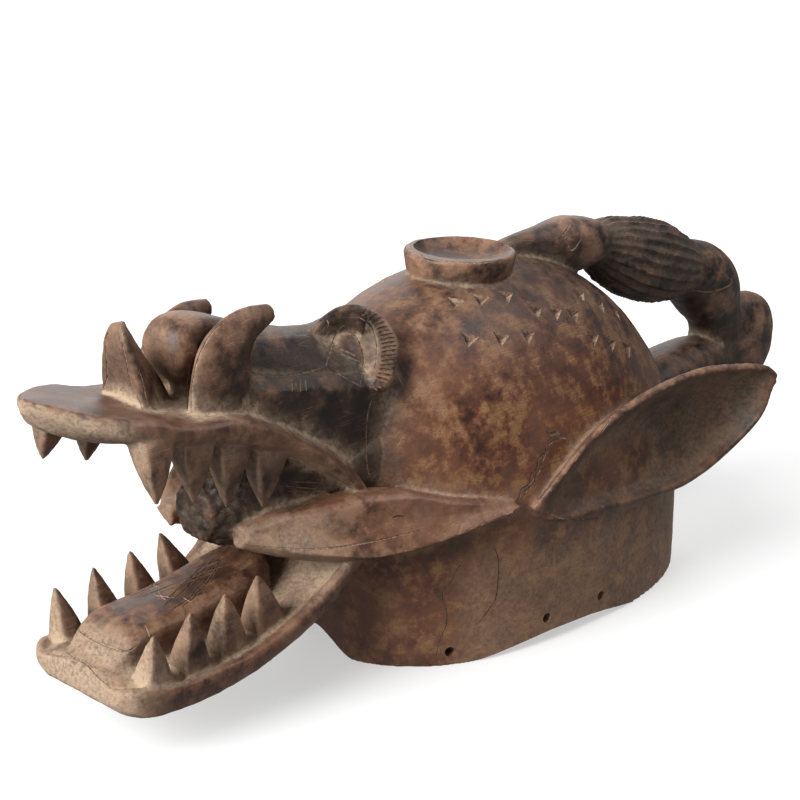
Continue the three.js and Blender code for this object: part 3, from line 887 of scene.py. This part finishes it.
def groove_cutter(tree, lines, reach, material, sides=6):
    """Cutter object along lines of places, thinning to nothing at both ends of each line."""
    points, edges, reaches = [], [], []
    for line in lines:
        first = len(points)
        points += [tuple(measured(np.array(place))) for place in line]
        edges += [(first + k, first + k + 1) for k in range(len(line) - 1)]
        t = np.linspace(0, 1, len(line))
        swell = np.sin(math.pi * t).clip(0) ** 0.4
        reaches += list(MM * (THINNEST_END + (reach - THINNEST_END) * swell))
    made = mesh_object("groove_cutter", points, [], edges=edges)
    store(made.data, "reach", "FLOAT", reaches)
    return grown(made, tree, {"Sides": sides, "Material": material})


def point_cutter(tree, spots, outer, inner, depth, proud, material, sides=3):
    """Cutter object with one tapered cut into the wood at each place, normal and down direction."""
    points, turns = [], []
    for place, out, down in spots:
        inward = -out.normalized()
        side = down.cross(inward).normalized()
        facing = Matrix((side, inward.cross(side), inward)).transposed()
        points.append(tuple(measured(np.array(place + out.normalized() * proud * MM))))
        turns += list(facing.to_euler())
    made = mesh_object("point_cutter", points, [])
    store(made.data, "turned", "FLOAT_VECTOR", turns)
    return grown(made, tree, {
        "Sides": sides, "Outer radius": outer * MM, "Inner radius": inner * MM,
        "Depth": (depth + proud) * MM, "Material": material,
    })


# Lines of the photograph in its pixels, with half the width of each groove in millimetres and what
# fills it.
GROOVES = {
    "fin band": (0.8, "dust", [
        [(117.5, 332), (121.7, 343), (125.8, 360), (130.8, 382), (138.3, 398), (143, 410)],
        [(124.2, 332), (129.2, 343), (135, 358), (142.5, 383), (146.5, 403)],
    ]),
    "horn edge": (0.7, "dust", [
        [(187.5, 412), (186.9, 390), (188.5, 373), (191.9, 360), (198.3, 351)],
        [(191, 410), (191.9, 390), (193.5, 376.7), (197, 361.7), (203.5, 346.7), (213.6, 331),
         (228.5, 320)],
    ]),
    "lens": (0.7, "dust", [
        [(341.3, 328.8), (350, 332.5), (356.3, 337.5), (360, 343.8), (362.5, 352.5), (363.5, 360),
         (362.5, 370), (360.5, 384)],
    ]),
    "lens split": (0.6, "dust", [
        [(332, 346.3), (342.5, 350), (351.3, 353.8), (360, 358.3)],
        [(332.5, 351.3), (342.5, 354.4), (352.5, 358.8), (360.5, 362)],
    ]),
    "eye edge": (0.6, "dust", [
        [(345, 324.5), (337, 331), (333, 341), (330.5, 350), (327, 361), (325.5, 367)],
        [(326, 367.5), (335, 372), (344, 377), (353, 382), (361, 386.5)],
        [(262, 376), (276, 376.5), (292, 375), (308, 371.5), (323, 367.5)],
    ]),
    "brow edge": (0.7, "dust", [
        [(357.5, 316.5), (366, 321.5), (372, 328), (376, 338), (377, 350), (375.5, 364),
         (371, 379)],
    ]),
    "cup rim": (0.7, "dust", [
        [(417, 251), (426, 257.5), (443, 261), (463, 263), (485, 262.5), (503, 259)],
    ]),
    "tongue": (0.6, "painted_shade", [
        [(135, 592.5), (150, 585.8), (170, 578), (197, 568.3), (224, 560)],
        [(130, 596.3), (147.5, 588.5), (172.5, 578.5), (202.5, 567.8), (230, 560)],
        [(141, 597), (157, 590.5), (180, 581.7), (210, 570.7), (232.5, 563.5)],
        [(155, 594), (175, 587), (200, 577.5), (222, 569)],
    ]),
    "leaf ridge": (0.7, "dust", [
        [(236, 540.5), (252.5, 544.5), (277.5, 548), (305, 549.3), (340, 547), (380, 540),
         (425, 529)],
    ]),
    "jaw front": (0.9, "dust", [
        [(46, 653.5), (56, 656), (75, 658.5), (90, 665), (105, 670.5)],
        [(87.5, 637.5), (105, 645), (125, 651.3), (137, 646)],
    ]),
    "bird head": (0.8, "dust", [
        [(564, 238), (571.7, 250), (581.7, 238.3)],
        [(561.7, 236), (566, 231), (570, 224.5)],
    ]),
    "wing tip": (0.8, "dust", [
        [(690, 290), (710, 291.7), (728, 286), (731.7, 280), (719, 274)],
    ]),
    "knob": (0.8, "dust", [
        [(745, 331.7), (745.8, 341.7), (747.5, 355)],
    ]),
    "mouth corner": (0.5, "dust", [
        [(284, 486), (310, 488.5), (335, 491), (355, 494)],
        [(288, 491), (312, 492.5), (334, 495)],
        [(292, 482), (316, 483), (338, 487.5)],
    ]),
    "leaf scratches": (0.4, "dust", [
        [(292, 512), (304, 505), (320, 498)],
        [(300, 515), (311, 508), (322, 503)],
    ]),
    "ear crease": (0.8, "dust", [
        [(541, 507), (552, 493), (566, 474), (580, 457), (596, 440), (612, 417)],
        [(541, 507), (555, 516), (575, 519.5), (600, 518)],
    ]),
    "snout root": (0.7, "dust", [
        [(372, 398), (367.5, 415), (366, 440), (367, 466), (373, 488)],
    ]),
    "tongue marks": (0.6, "dust", [
        [(157.5, 590), (161, 597), (166, 600)],
        [(182.5, 597.5), (190, 601.5), (198, 602.5)],
        [(144.5, 624.5), (147, 631), (149.5, 638)],
    ]),
    "ledge nicks": (0.7, "dust", [
        [(291.3, 378.3), (292.5, 386.3), (292.2, 391.5)],
        [(295, 379.5), (296.3, 388.5)],
        [(300, 378.5), (300.6, 391.5)],
        [(305, 378), (306.3, 391)],
    ]),
    "ridge nicks": (0.6, "dust", [
        [(326.3, 319.4), (328, 323.8), (327, 328.8)],
    ]),
}
THINNEST_END = 0.05
EYE_GROOVES = ("lens", "lens split", "eye edge", "brow edge")
# Cracks and chips of the near side. The dark ones hold painted shade.
CRACKS = {
    "crack under the leaf": (0.45, "painted_shade", [
        [(461.8, 560.8), (452, 580), (442.5, 595), (447, 612), (446, 626), (440, 640), (435, 662)],
        [(493.6, 546), (498.5, 560.8), (496.5, 595), (488.7, 610), (476.5, 625)],
    ]),
    "split by the ear": (0.75, "painted_shade", [
        [(514, 503), (519, 497), (522, 489), (529, 484), (531, 475), (537, 468), (538, 460),
         (545, 452), (546, 444), (552, 437)],
        [(521, 500), (527, 490), (534, 483), (536, 476), (543, 465)],
    ]),
    "splinters by the ear": (0.6, "dust", [
        [(525, 494), (529, 487), (534, 478), (540, 470), (544, 458), (549, 450)],
        [(548, 446), (554, 441), (560, 441)],
    ]),
    "chip by the ear": (1.5, "dust", [
        [(546, 431), (551, 434), (556, 433), (561, 437), (568, 438)],
    ]),
    "nick in the leaf": (0.9, "painted_shade", [
        [(392, 518), (398, 516), (405, 517)],
    ]),
}
LASH_INNER = [
    (360, 315), (366.3, 319.3), (372.5, 324.5), (376.3, 330.5), (378.8, 337), (380.3, 344.5),
    (380.8, 352), (380.2, 360.5), (379, 368), (376.5, 375.5), (373.8, 381.3), (370, 386),
]
LASH_OUTER = [
    (366, 307.5), (374, 312.5), (381.5, 319.5), (388, 327.5), (392, 334.5), (394.8, 342),
    (396, 350), (395.6, 359.5), (393, 369), (389, 378.5), (382.5, 386), (375, 391.5),
]
LASHES = 21
LASH_REACH = 1.12
LASH_RADIUS = 1.1
NOTCHES = [
    [(455.1, 301.9), (480.6, 298.6), (506, 295.3)],
    [(535.9, 310.8), (555.4, 311.9), (573.6, 314.7)],
    [(469.1, 338.9), (500.9, 337.8), (527.5, 335.1)],
    [(593.5, 337.3), (611.2, 344), (627.4, 348.4)],
    [(580.2, 295.3), (600.2, 305.2), (616.1, 313)],
]
RIM_HOLES = [(450, 652), (547, 618), (601, 596)]
NOTCH_RADIUS = 8.8
NOTCH_DEPTH = 4.6
NOTCH_END = 1.0
RIM_HOLE_RADIUS = 3.7
DOWN = Vector((0, 0, -1))
# What fills the cuts: its name, and its darkest and palest colours. The dust is packed in the cuts;
# the other fill is painted shade.
FILLS = {
    "dust": ("pale dust in cuts", "#4c382d", "#a08671"),
    "painted_shade": ("painted shade in shallow cuts", "#2b1f1a", "#755b48"),
}


class MASK_OT_carve(bpy.types.Operator):
    """Carve the block: fuse its forms and work them over"""

    bl_idname = "mask.carve"
    bl_label = "Carve the block"

    def execute(self, context):
        sizes = context.scene.mask_sizes
        fused_block(sizes.grid, sizes.keep)
        return {"FINISHED"}


class MASK_OT_cut(bpy.types.Operator):
    """Cut the grooves, lashes, notches and rim holes, and hollow the helmet"""

    bl_idname = "mask.cut"
    bl_label = "Cut the details"

    def execute(self, context):
        block = bpy.data.objects["carved_mask_wood"]
        wood = oiled_hardwood()
        fills = {name: packed_cuts(*looks) for name, looks in FILLS.items()}
        block.data.materials.clear()
        block.data.materials.append(wood)
        survey, surface = WoodSurvey(block), Surface(block)
        tubes, cones = groove_tree(), point_cut_tree()
        cutters = []
        for table, sides in ((GROOVES, 2), (CRACKS, 1)):
            for name, (reach, fill, drawn) in table.items():
                lowered = (EYE_DROP, EYE_BACK) if name in EYE_GROOVES else (0.0, 0.0)
                for pixels in drawn:
                    lines = surface.line(pixels, lowered=lowered)[:sides]
                    cutters += [groove_cutter(tubes, [line], reach, fills[fill]) for line in lines]
        for side in (0, 1):
            lashes = []
            for t in np.linspace(0.02, 0.98, LASHES):
                inner, outer = through(LASH_INNER, [t])[0], through(LASH_OUTER, [t])[0]
                ends = [inner, inner + (outer - inner) * LASH_REACH]
                lashes.append(surface.line(ends, 8, (EYE_DROP, EYE_BACK))[side])
            # The lashes' grooves are filled with painted shade.
            cutters.append(groove_cutter(tubes, lashes, LASH_RADIUS, fills["painted_shade"]))
        notches, holes = [], []
        for spots, pixels in ((notches, [p for row in NOTCHES for p in row]), (holes, RIM_HOLES)):
            for place, out in map(surface.seen, pixels):
                spots.append((place, out, DOWN))
                spots.append((*surface.mirrored(place), DOWN))
        rim_hole = (RIM_HOLE_RADIUS, RIM_HOLE_RADIUS, WALL + 8, 3.0, wood)
        cutters += [
            point_cutter(cones, notches, NOTCH_RADIUS, NOTCH_END, NOTCH_DEPTH, 1.0, fills["dust"]),
            point_cutter(cones, holes, *rim_hole, sides=16),
        ]
        cutters += [mesh_object("hollow_cutter", *form, wood) for form in hollow_cutters()]
        cut_away(block, cutters)
        survey.write(block)
        return {"FINISHED"}


# How many times a value is averaged with those next to it.
FINE_BLUR = 2
BROAD_BLUR = 30
REGION_BLUR = 8
# How sooty, rusty and dusty the wood of each region is, how worn all over, and how much painted
# light lies where it faces the front, toward the window light, each from 0 to 1. The ear's soot is
# painted shade of its hollow.
REGION_LOOKS = {
    "helmet": (0.05, 1.0, 0.5, 0.0, 0.05),
    "cup": (0.4, 0.6, 1.1, 0.3, 0.1),
    "plate": (0.35, 0.3, 1.2, 0.25, 1.0),
    "snout": (1.0, 0.2, 0.7, 0.0, 0.0),
    "nose": (0.6, 0.1, 1.2, 0.2, 0.2),
    "eye": (0.7, 0.1, 1.2, 0.5, 0.15),
    "teeth": (0.35, 0.1, 1.3, 0.3, 0.45),
    "jaw": (0.2, 0.5, 1.5, 0.5, 0.6),
    "tongue": (0.6, 1.0, 0.9, 0.15, 0.4),
    "throat": (1.0, 0.0, 0.8, 0.0, 0.0),
    "leaf": (0.0, 0.9, 0.8, 0.8, 0.65),
    # The ear's soot value is painted shade: it darkens the ear for the shade in its deep hollow.
    "ear": (0.6, 0.6, 0.3, 0.25, 0.0),
    "bird": (1.0, 0.2, 0.7, 0.15, 0.0),
}


class WoodSurvey:
    """What the fused wood is like at each of its points, kept to be read again after the cuts."""

    def __init__(self, block):
        mesh = block.data
        mesh.calc_loop_triangles()
        self.co = values_of(mesh.vertices, "co", 3)
        self.faces = values_of(mesh.loop_triangles, "vertices", 3, int)
        self.edges = values_of(mesh.edges, "vertices", 2, int)
        self.count = np.bincount(self.edges.ravel(), minlength=len(self.co))
        out = values_of(mesh.vertex_normals, "vector", 3)
        # How far each point lies below the wood round it, in millimetres, near by and further off.
        fine, broad = (
            ((self.blurred(self.co, times) - self.co) * out).sum(1) / MM
            for times in (FINE_BLUR, BROAD_BLUR)
        )
        soot_and_shade, rust, dusty, worn, front = self.blurred(self.regions(), REGION_BLUR).T
        hollow = 0.8 * ramp(fine, 0.05, 0.45) + 0.8 * ramp(broad, 0.4, 3.5)
        raised = 0.9 * ramp(-fine, 0.08, 0.5) + 0.4 * ramp(-broad, 1.0, 4.0) + worn
        y, z = measured(self.co)[:, 1:].T
        helmet = ramp(y, -130, -100)
        smoky_crown = 0.65 * ramp(z, 170, 235) * helmet
        # Painted shade: the dome's rear side, turned away from the lights, is darkened like soot.
        painted_shade_rear = 0.6 * ramp(y, 0, 130) * ramp(z, 80, 120) * helmet
        # Painted light: faces turned to the front, where the window light falls, are made paler.
        painted_light_front = front * ramp(-out[:, 1], 0.25, 0.8)
        # Painted light: the upright front band of the lip, lit from the front, is made paler.
        painted_light_lip = 0.5 * fall(y, -365, -330) * ramp(z, 190, 205) * (1 - np.abs(out[:, 2]))
        pale_jaw = 0.5 * fall(y, -355, -330) * fall(z, 100, 115)
        pale_foot = 0.4 * fall(z, 60, 100) * helmet
        settled = self.blurred(hollow[:, None], 1)[:, 0] * dusty
        self.values = {
            # The soot value holds the regions' soot and the crown's dark tone, with the painted
            # shade of the dome's rear.
            "soot_and_shade": np.maximum(soot_and_shade, smoky_crown + painted_shade_rear),
            "rust": rust,
            # The dust value holds dust settled in the hollows, the pale jaw front and helmet foot,
            # and the painted light of faces turned to the front and of the lip's front band.
            "dust": settled + painted_light_front + painted_light_lip + pale_jaw + pale_foot,
            "wear": self.blurred(raised[:, None], 1)[:, 0],
        }
        self.tree = BVHTree.FromPolygons(self.co.tolist(), self.faces.tolist())

    def blurred(self, values, times):
        """Values averaged with those of the points next to them, times over."""
        for _ in range(times):
            total = np.empty_like(values)
            for k in range(values.shape[1]):
                near = np.concatenate([values[self.edges[:, 1], k], values[self.edges[:, 0], k]])
                total[:, k] = np.bincount(self.edges.T.ravel(), near, len(values))
            values = (values + total) / (1 + self.count)[:, None]
        return values

    def regions(self):
        """The looks of the region that each point belongs to."""
        named = [(name, form) for name, forms in outer_forms().items() for form in forms]
        looks = [REGION_LOOKS[name] for name, (_, faces) in named for _ in faces]
        points, faces = merged([form for _, form in named])
        tree = BVHTree.FromPolygons(points.tolist(), faces.tolist())
        return np.array([looks[tree.find_nearest(place)[2]] for place in measured(self.co)])

    def write(self, block):
        """Gives the cut block each value, read from the nearest point of the uncut wood."""
        mesh = block.data
        nearest = [self.tree.find_nearest(place)[2] for place in values_of(mesh.vertices, "co", 3)]
        corners = self.faces[nearest]
        for name, values in self.values.items():
            store(mesh, name, "FLOAT", values[corners].mean(1))


class Paint:
    """A new material, with a method for each kind of node that it is painted with."""

    def __init__(self, name):
        self.material = bpy.data.materials.new(name)
        self.material.use_nodes = True
        self.tree = self.material.node_tree

    def node(self, kind, settings=None, inputs=None, output=0):
        return add(self.tree, "ShaderNode" + kind, settings, inputs, output)

    def noise(self, place, size, detail, roughness=0.5):
        """Noise with a pattern of a size in millimetres."""
        return self.node("TexNoise", inputs={
            "Vector": place, "Scale": 1 / (size * MM), "Detail": detail, "Roughness": roughness})

    def spread(self, value, low, high, least=0.0, most=1.0):
        """Least where the value is low, most where it is high, and between the two in between."""
        return self.node("MapRange", inputs={0: value, 1: low, 2: high, 3: least, 4: most})

    def maths(self, operation, *values, clamped=False):
        settings = {"operation": operation, "use_clamp": clamped}
        return self.node("Math", settings, dict(enumerate(values)))

    def over(self, share, under, colour, blend="MIX"):
        """A share of a colour laid over another. Either is a hex colour or what a node gives."""
        under, colour = (linear(c) if isinstance(c, str) else c for c in (under, colour))
        settings = {"data_type": "RGBA", "blend_type": blend}
        return self.node("Mix", settings, {0: share, 6: under, 7: colour}, output=2)

    def layer(self, under, amount, pattern, spread, colour):
        """A colour laid on by an amount, broken up by a pattern."""
        share = self.maths("MULTIPLY", amount, self.spread(pattern, *spread), clamped=True)
        return self.over(share, under, colour)

    def bump(self, height, strength, depth):
        """The normal of a relief of a depth in millimetres."""
        return self.node("Bump", inputs={
            "Strength": strength, "Distance": depth * MM, "Height": height})

    def finished(self, inputs):
        """The material, with these inputs of its shader."""
        fill(self.tree, self.tree.nodes["Principled BSDF"], inputs)
        return self.material


def oiled_hardwood():
    """Old hardwood, cut with a gouge and darkened with oil, smoke and handling: red-brown where it
    shows, almost black in the soot and in painted shade on the dome's rear and the ears,
    orange-brown where edges are rubbed, with pale dust in the hollows and painted light on faces
    turned to the front. The film of oil gives it a soft gloss."""
    wood = Paint("oiled hardwood")
    place = wood.node("TexCoord", output="Object")
    soot_and_shade, rust, dust, wear = (
        wood.node("Attribute", {"attribute_name": name}, output="Fac")
        for name in ("soot_and_shade", "rust", "dust", "wear")
    )
    along_grain = wood.node("Mapping", inputs={"Vector": place, "Scale": (1, 0.07, 1)})
    broad = wood.noise(place, size=60, detail=3)
    mottle = wood.noise(place, size=16, detail=9, roughness=0.68)
    fine = wood.noise(place, size=3, detail=6, roughness=0.7)
    fibre = wood.noise(along_grain, size=2.2, detail=5, roughness=0.6)
    colour = wood.over(wood.spread(broad, 0.4, 0.6), "#38211a", "#6e4c3a")
    colour = wood.layer(colour, rust, mottle, (0.38, 0.62, 0.0, 0.8), "#7c4227")
    colour = wood.layer(colour, rust, mottle, (0.5, 0.62, 0.0, 0.75), "#957045")
    # This layer also lays the painted shade of the dome's rear and of the ears.
    colour = wood.layer(colour, soot_and_shade, mottle, (0.3, 0.7, 1.0, 0.86), "#150e0c")
    colour = wood.over(0.45, colour, wood.spread(fibre, 0.3, 0.7, 0.55, 1.3), "MULTIPLY")
    colour = wood.layer(colour, wear, mottle, (0.4, 0.62, 0.0, 0.8), "#87644e")
    # This layer also lays the painted light on faces turned to the front and on the lip's front.
    colour = wood.layer(colour, dust, fine, (0.35, 0.62, 0.3, 1.0), "#a9937c")
    slanted = wood.node("Mapping", inputs={
        "Vector": place, "Rotation": (0.3, 0.2, 0.4), "Scale": (0.8, 0.06, 1)})
    cell_edge = wood.node("TexVoronoi", {"feature": "DISTANCE_TO_EDGE"}, {
        "Vector": slanted, "Scale": 1 / (5 * MM)})
    scratches = wood.maths(
        "MULTIPLY", wood.spread(cell_edge, 0.0, 0.05, 1.0, 0.0), wood.spread(mottle, 0.5, 0.62))
    roughness = wood.maths("MULTIPLY_ADD", soot_and_shade, 0.1, wood.spread(mottle, 0.3, 0.7, 0.3, 0.5))
    height = wood.maths("MULTIPLY_ADD", fibre, 0.6, wood.maths("SUBTRACT", fine, scratches))
    return wood.finished({
        "Base Color": wood.over(wood.maths("MULTIPLY", scratches, 0.3), colour, "#937c6b"),
        "Roughness": wood.maths("MULTIPLY_ADD", dust, 0.4, roughness, clamped=True),
        "Normal": wood.bump(height, strength=0.6, depth=0.4),
        "Specular IOR Level": 0.4,
    })


def packed_cuts(name, dark, pale):
    """A dry, matt fill for the cuts, with darker wood showing through: packed dust, and for the
    dark fill, painted shade.
    """
    packed = Paint(name)
    place = packed.node("TexCoord", output="Object")
    patches = packed.noise(place, size=2.5, detail=5, roughness=0.7)
    return packed.finished({
        "Base Color": packed.over(packed.spread(patches, 0.35, 0.62), dark, pale),
        "Roughness": 0.85,
        "Normal": packed.bump(patches, strength=0.5, depth=0.3),
    })


class MASK_OT_finish(bpy.types.Operator):
    """Smooth the wood's shading, keep its cut edges crisp and set the mask in the frame"""

    bl_idname = "mask.finish"
    bl_label = "Finish the wood"

    def execute(self, context):
        block = bpy.data.objects["carved_mask_wood"]
        for polygon in block.data.polygons:
            polygon.use_smooth = True
        block.data.set_sharp_from_angle(angle=math.radians(SHARPEST_SHADED))
        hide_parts(CARVED_NODE)
        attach(block, "root")
        return {"FINISHED"}


def light(name, kind, power, aim, place=(0, 0, 0), **settings):
    """A soft light that shines along aim."""
    data = with_settings(bpy.data.lights.new(name, kind), {"energy": power, **settings})
    made = in_scene(name, data)
    made.location = place
    made.rotation_euler = Vector(aim).to_track_quat("-Z", "Y").to_euler()


class MASK_OT_stage(bpy.types.Operator):
    """Set the floor, the soft lights and the camera"""

    bl_idname = "mask.stage"
    bl_label = "Set the stage"

    def execute(self, context):
        scene = context.scene
        look = scene.mask_looks
        scene.world = bpy.data.worlds.new("studio")
        scene.world.use_nodes = True
        background = scene.world.node_tree.nodes["Background"]
        background.inputs["Color"].default_value = (1, 1, 1, 1)
        background.inputs["Strength"].default_value = look.surround
        corners = [(-FLOOR, -FLOOR, 0), (FLOOR, -FLOOR, 0), (FLOOR, FLOOR, 0), (-FLOOR, FLOOR, 0)]
        floor = mesh_object("studio_floor", corners, [(0, 1, 2, 3)])
        floor.data.materials.append(Paint("pale paper floor").finished({
            "Base Color": linear("#b4b4b4"),
            "Roughness": 0.95,
            "Emission Color": (1, 1, 1, 1),
            "Emission Strength": 0.5,
        }))
        floor.visible_diffuse = False
        floor.visible_glossy = False
        light("window", "SUN", look.key, WINDOW_AIM, angle=math.radians(WINDOW_SPREAD))
        for name, (place, size) in SOFTBOXES.items():
            aim = LIT_MIDDLE - Vector(place)
            light(f"{name}_softbox", "AREA", getattr(look, name), aim, place, size=size)
        lens = bpy.data.cameras.new("photo_camera")
        with_settings(lens, {
            "sensor_width": SENSOR, "lens": FOCAL_PIXELS / FRAME_SIDE * SENSOR, "clip_end": 60})
        scene.camera = in_scene("photo_camera", lens)
        scene.camera.matrix_world = photo_camera_matrix()
        scene.view_settings.view_transform = "Standard"
        return {"FINISHED"}


def number(name, description, default, **kind):
    return bpy.props.FloatProperty(name=name, description=description, default=default, **kind)


class MaskSizes(bpy.types.PropertyGroup):
    grid: number("Grid", "Cell of the grid that fuses the forms", 0.0014, unit="LENGTH")
    keep: number("Keep", "Share of the fused triangles that is kept", 0.124, subtype="FACTOR")


class MaskLooks(bpy.types.PropertyGroup):
    surround: number("Surround", "Brightness of the white room", 0.3)
    key: number("Window light", "Strength of the soft light in front on the left", 5.5)
    rear: number("Rear light", "Power of the softbox behind on the left", 20, unit="POWER")
    top: number("Top light", "Power of the softbox overhead", 15, unit="POWER")


class MASK_PT_panel(bpy.types.Panel):
    bl_label = "Carved mask"
    bl_idname = "MASK_PT_panel"
    bl_space_type = "VIEW_3D"
    bl_region_type = "UI"
    bl_category = "Mask"

    def draw(self, context):
        for group in (context.scene.mask_sizes, context.scene.mask_looks):
            for name in group.bl_rna.properties.keys():
                if name not in ("rna_type", "name"):
                    self.layout.prop(group, name)
        for step in STEPS:
            self.layout.operator(step.bl_idname)


STEPS = (MASK_OT_carve, MASK_OT_cut, MASK_OT_finish, MASK_OT_stage)
CLASSES = (MaskSizes, MaskLooks, *STEPS, MASK_PT_panel)


def register():
    for made in CLASSES:
        bpy.utils.register_class(made)
    bpy.types.Scene.mask_sizes = bpy.props.PointerProperty(type=MaskSizes)
    bpy.types.Scene.mask_looks = bpy.props.PointerProperty(type=MaskLooks)


def unregister():
    del bpy.types.Scene.mask_looks
    del bpy.types.Scene.mask_sizes
    for made in reversed(CLASSES):
        bpy.utils.unregister_class(made)


def main():
    register()
    bpy.ops.mask.carve()
    bpy.ops.mask.cut()
    bpy.ops.mask.finish()
    bpy.ops.mask.stage()


if __name__ == "__main__":
    main()
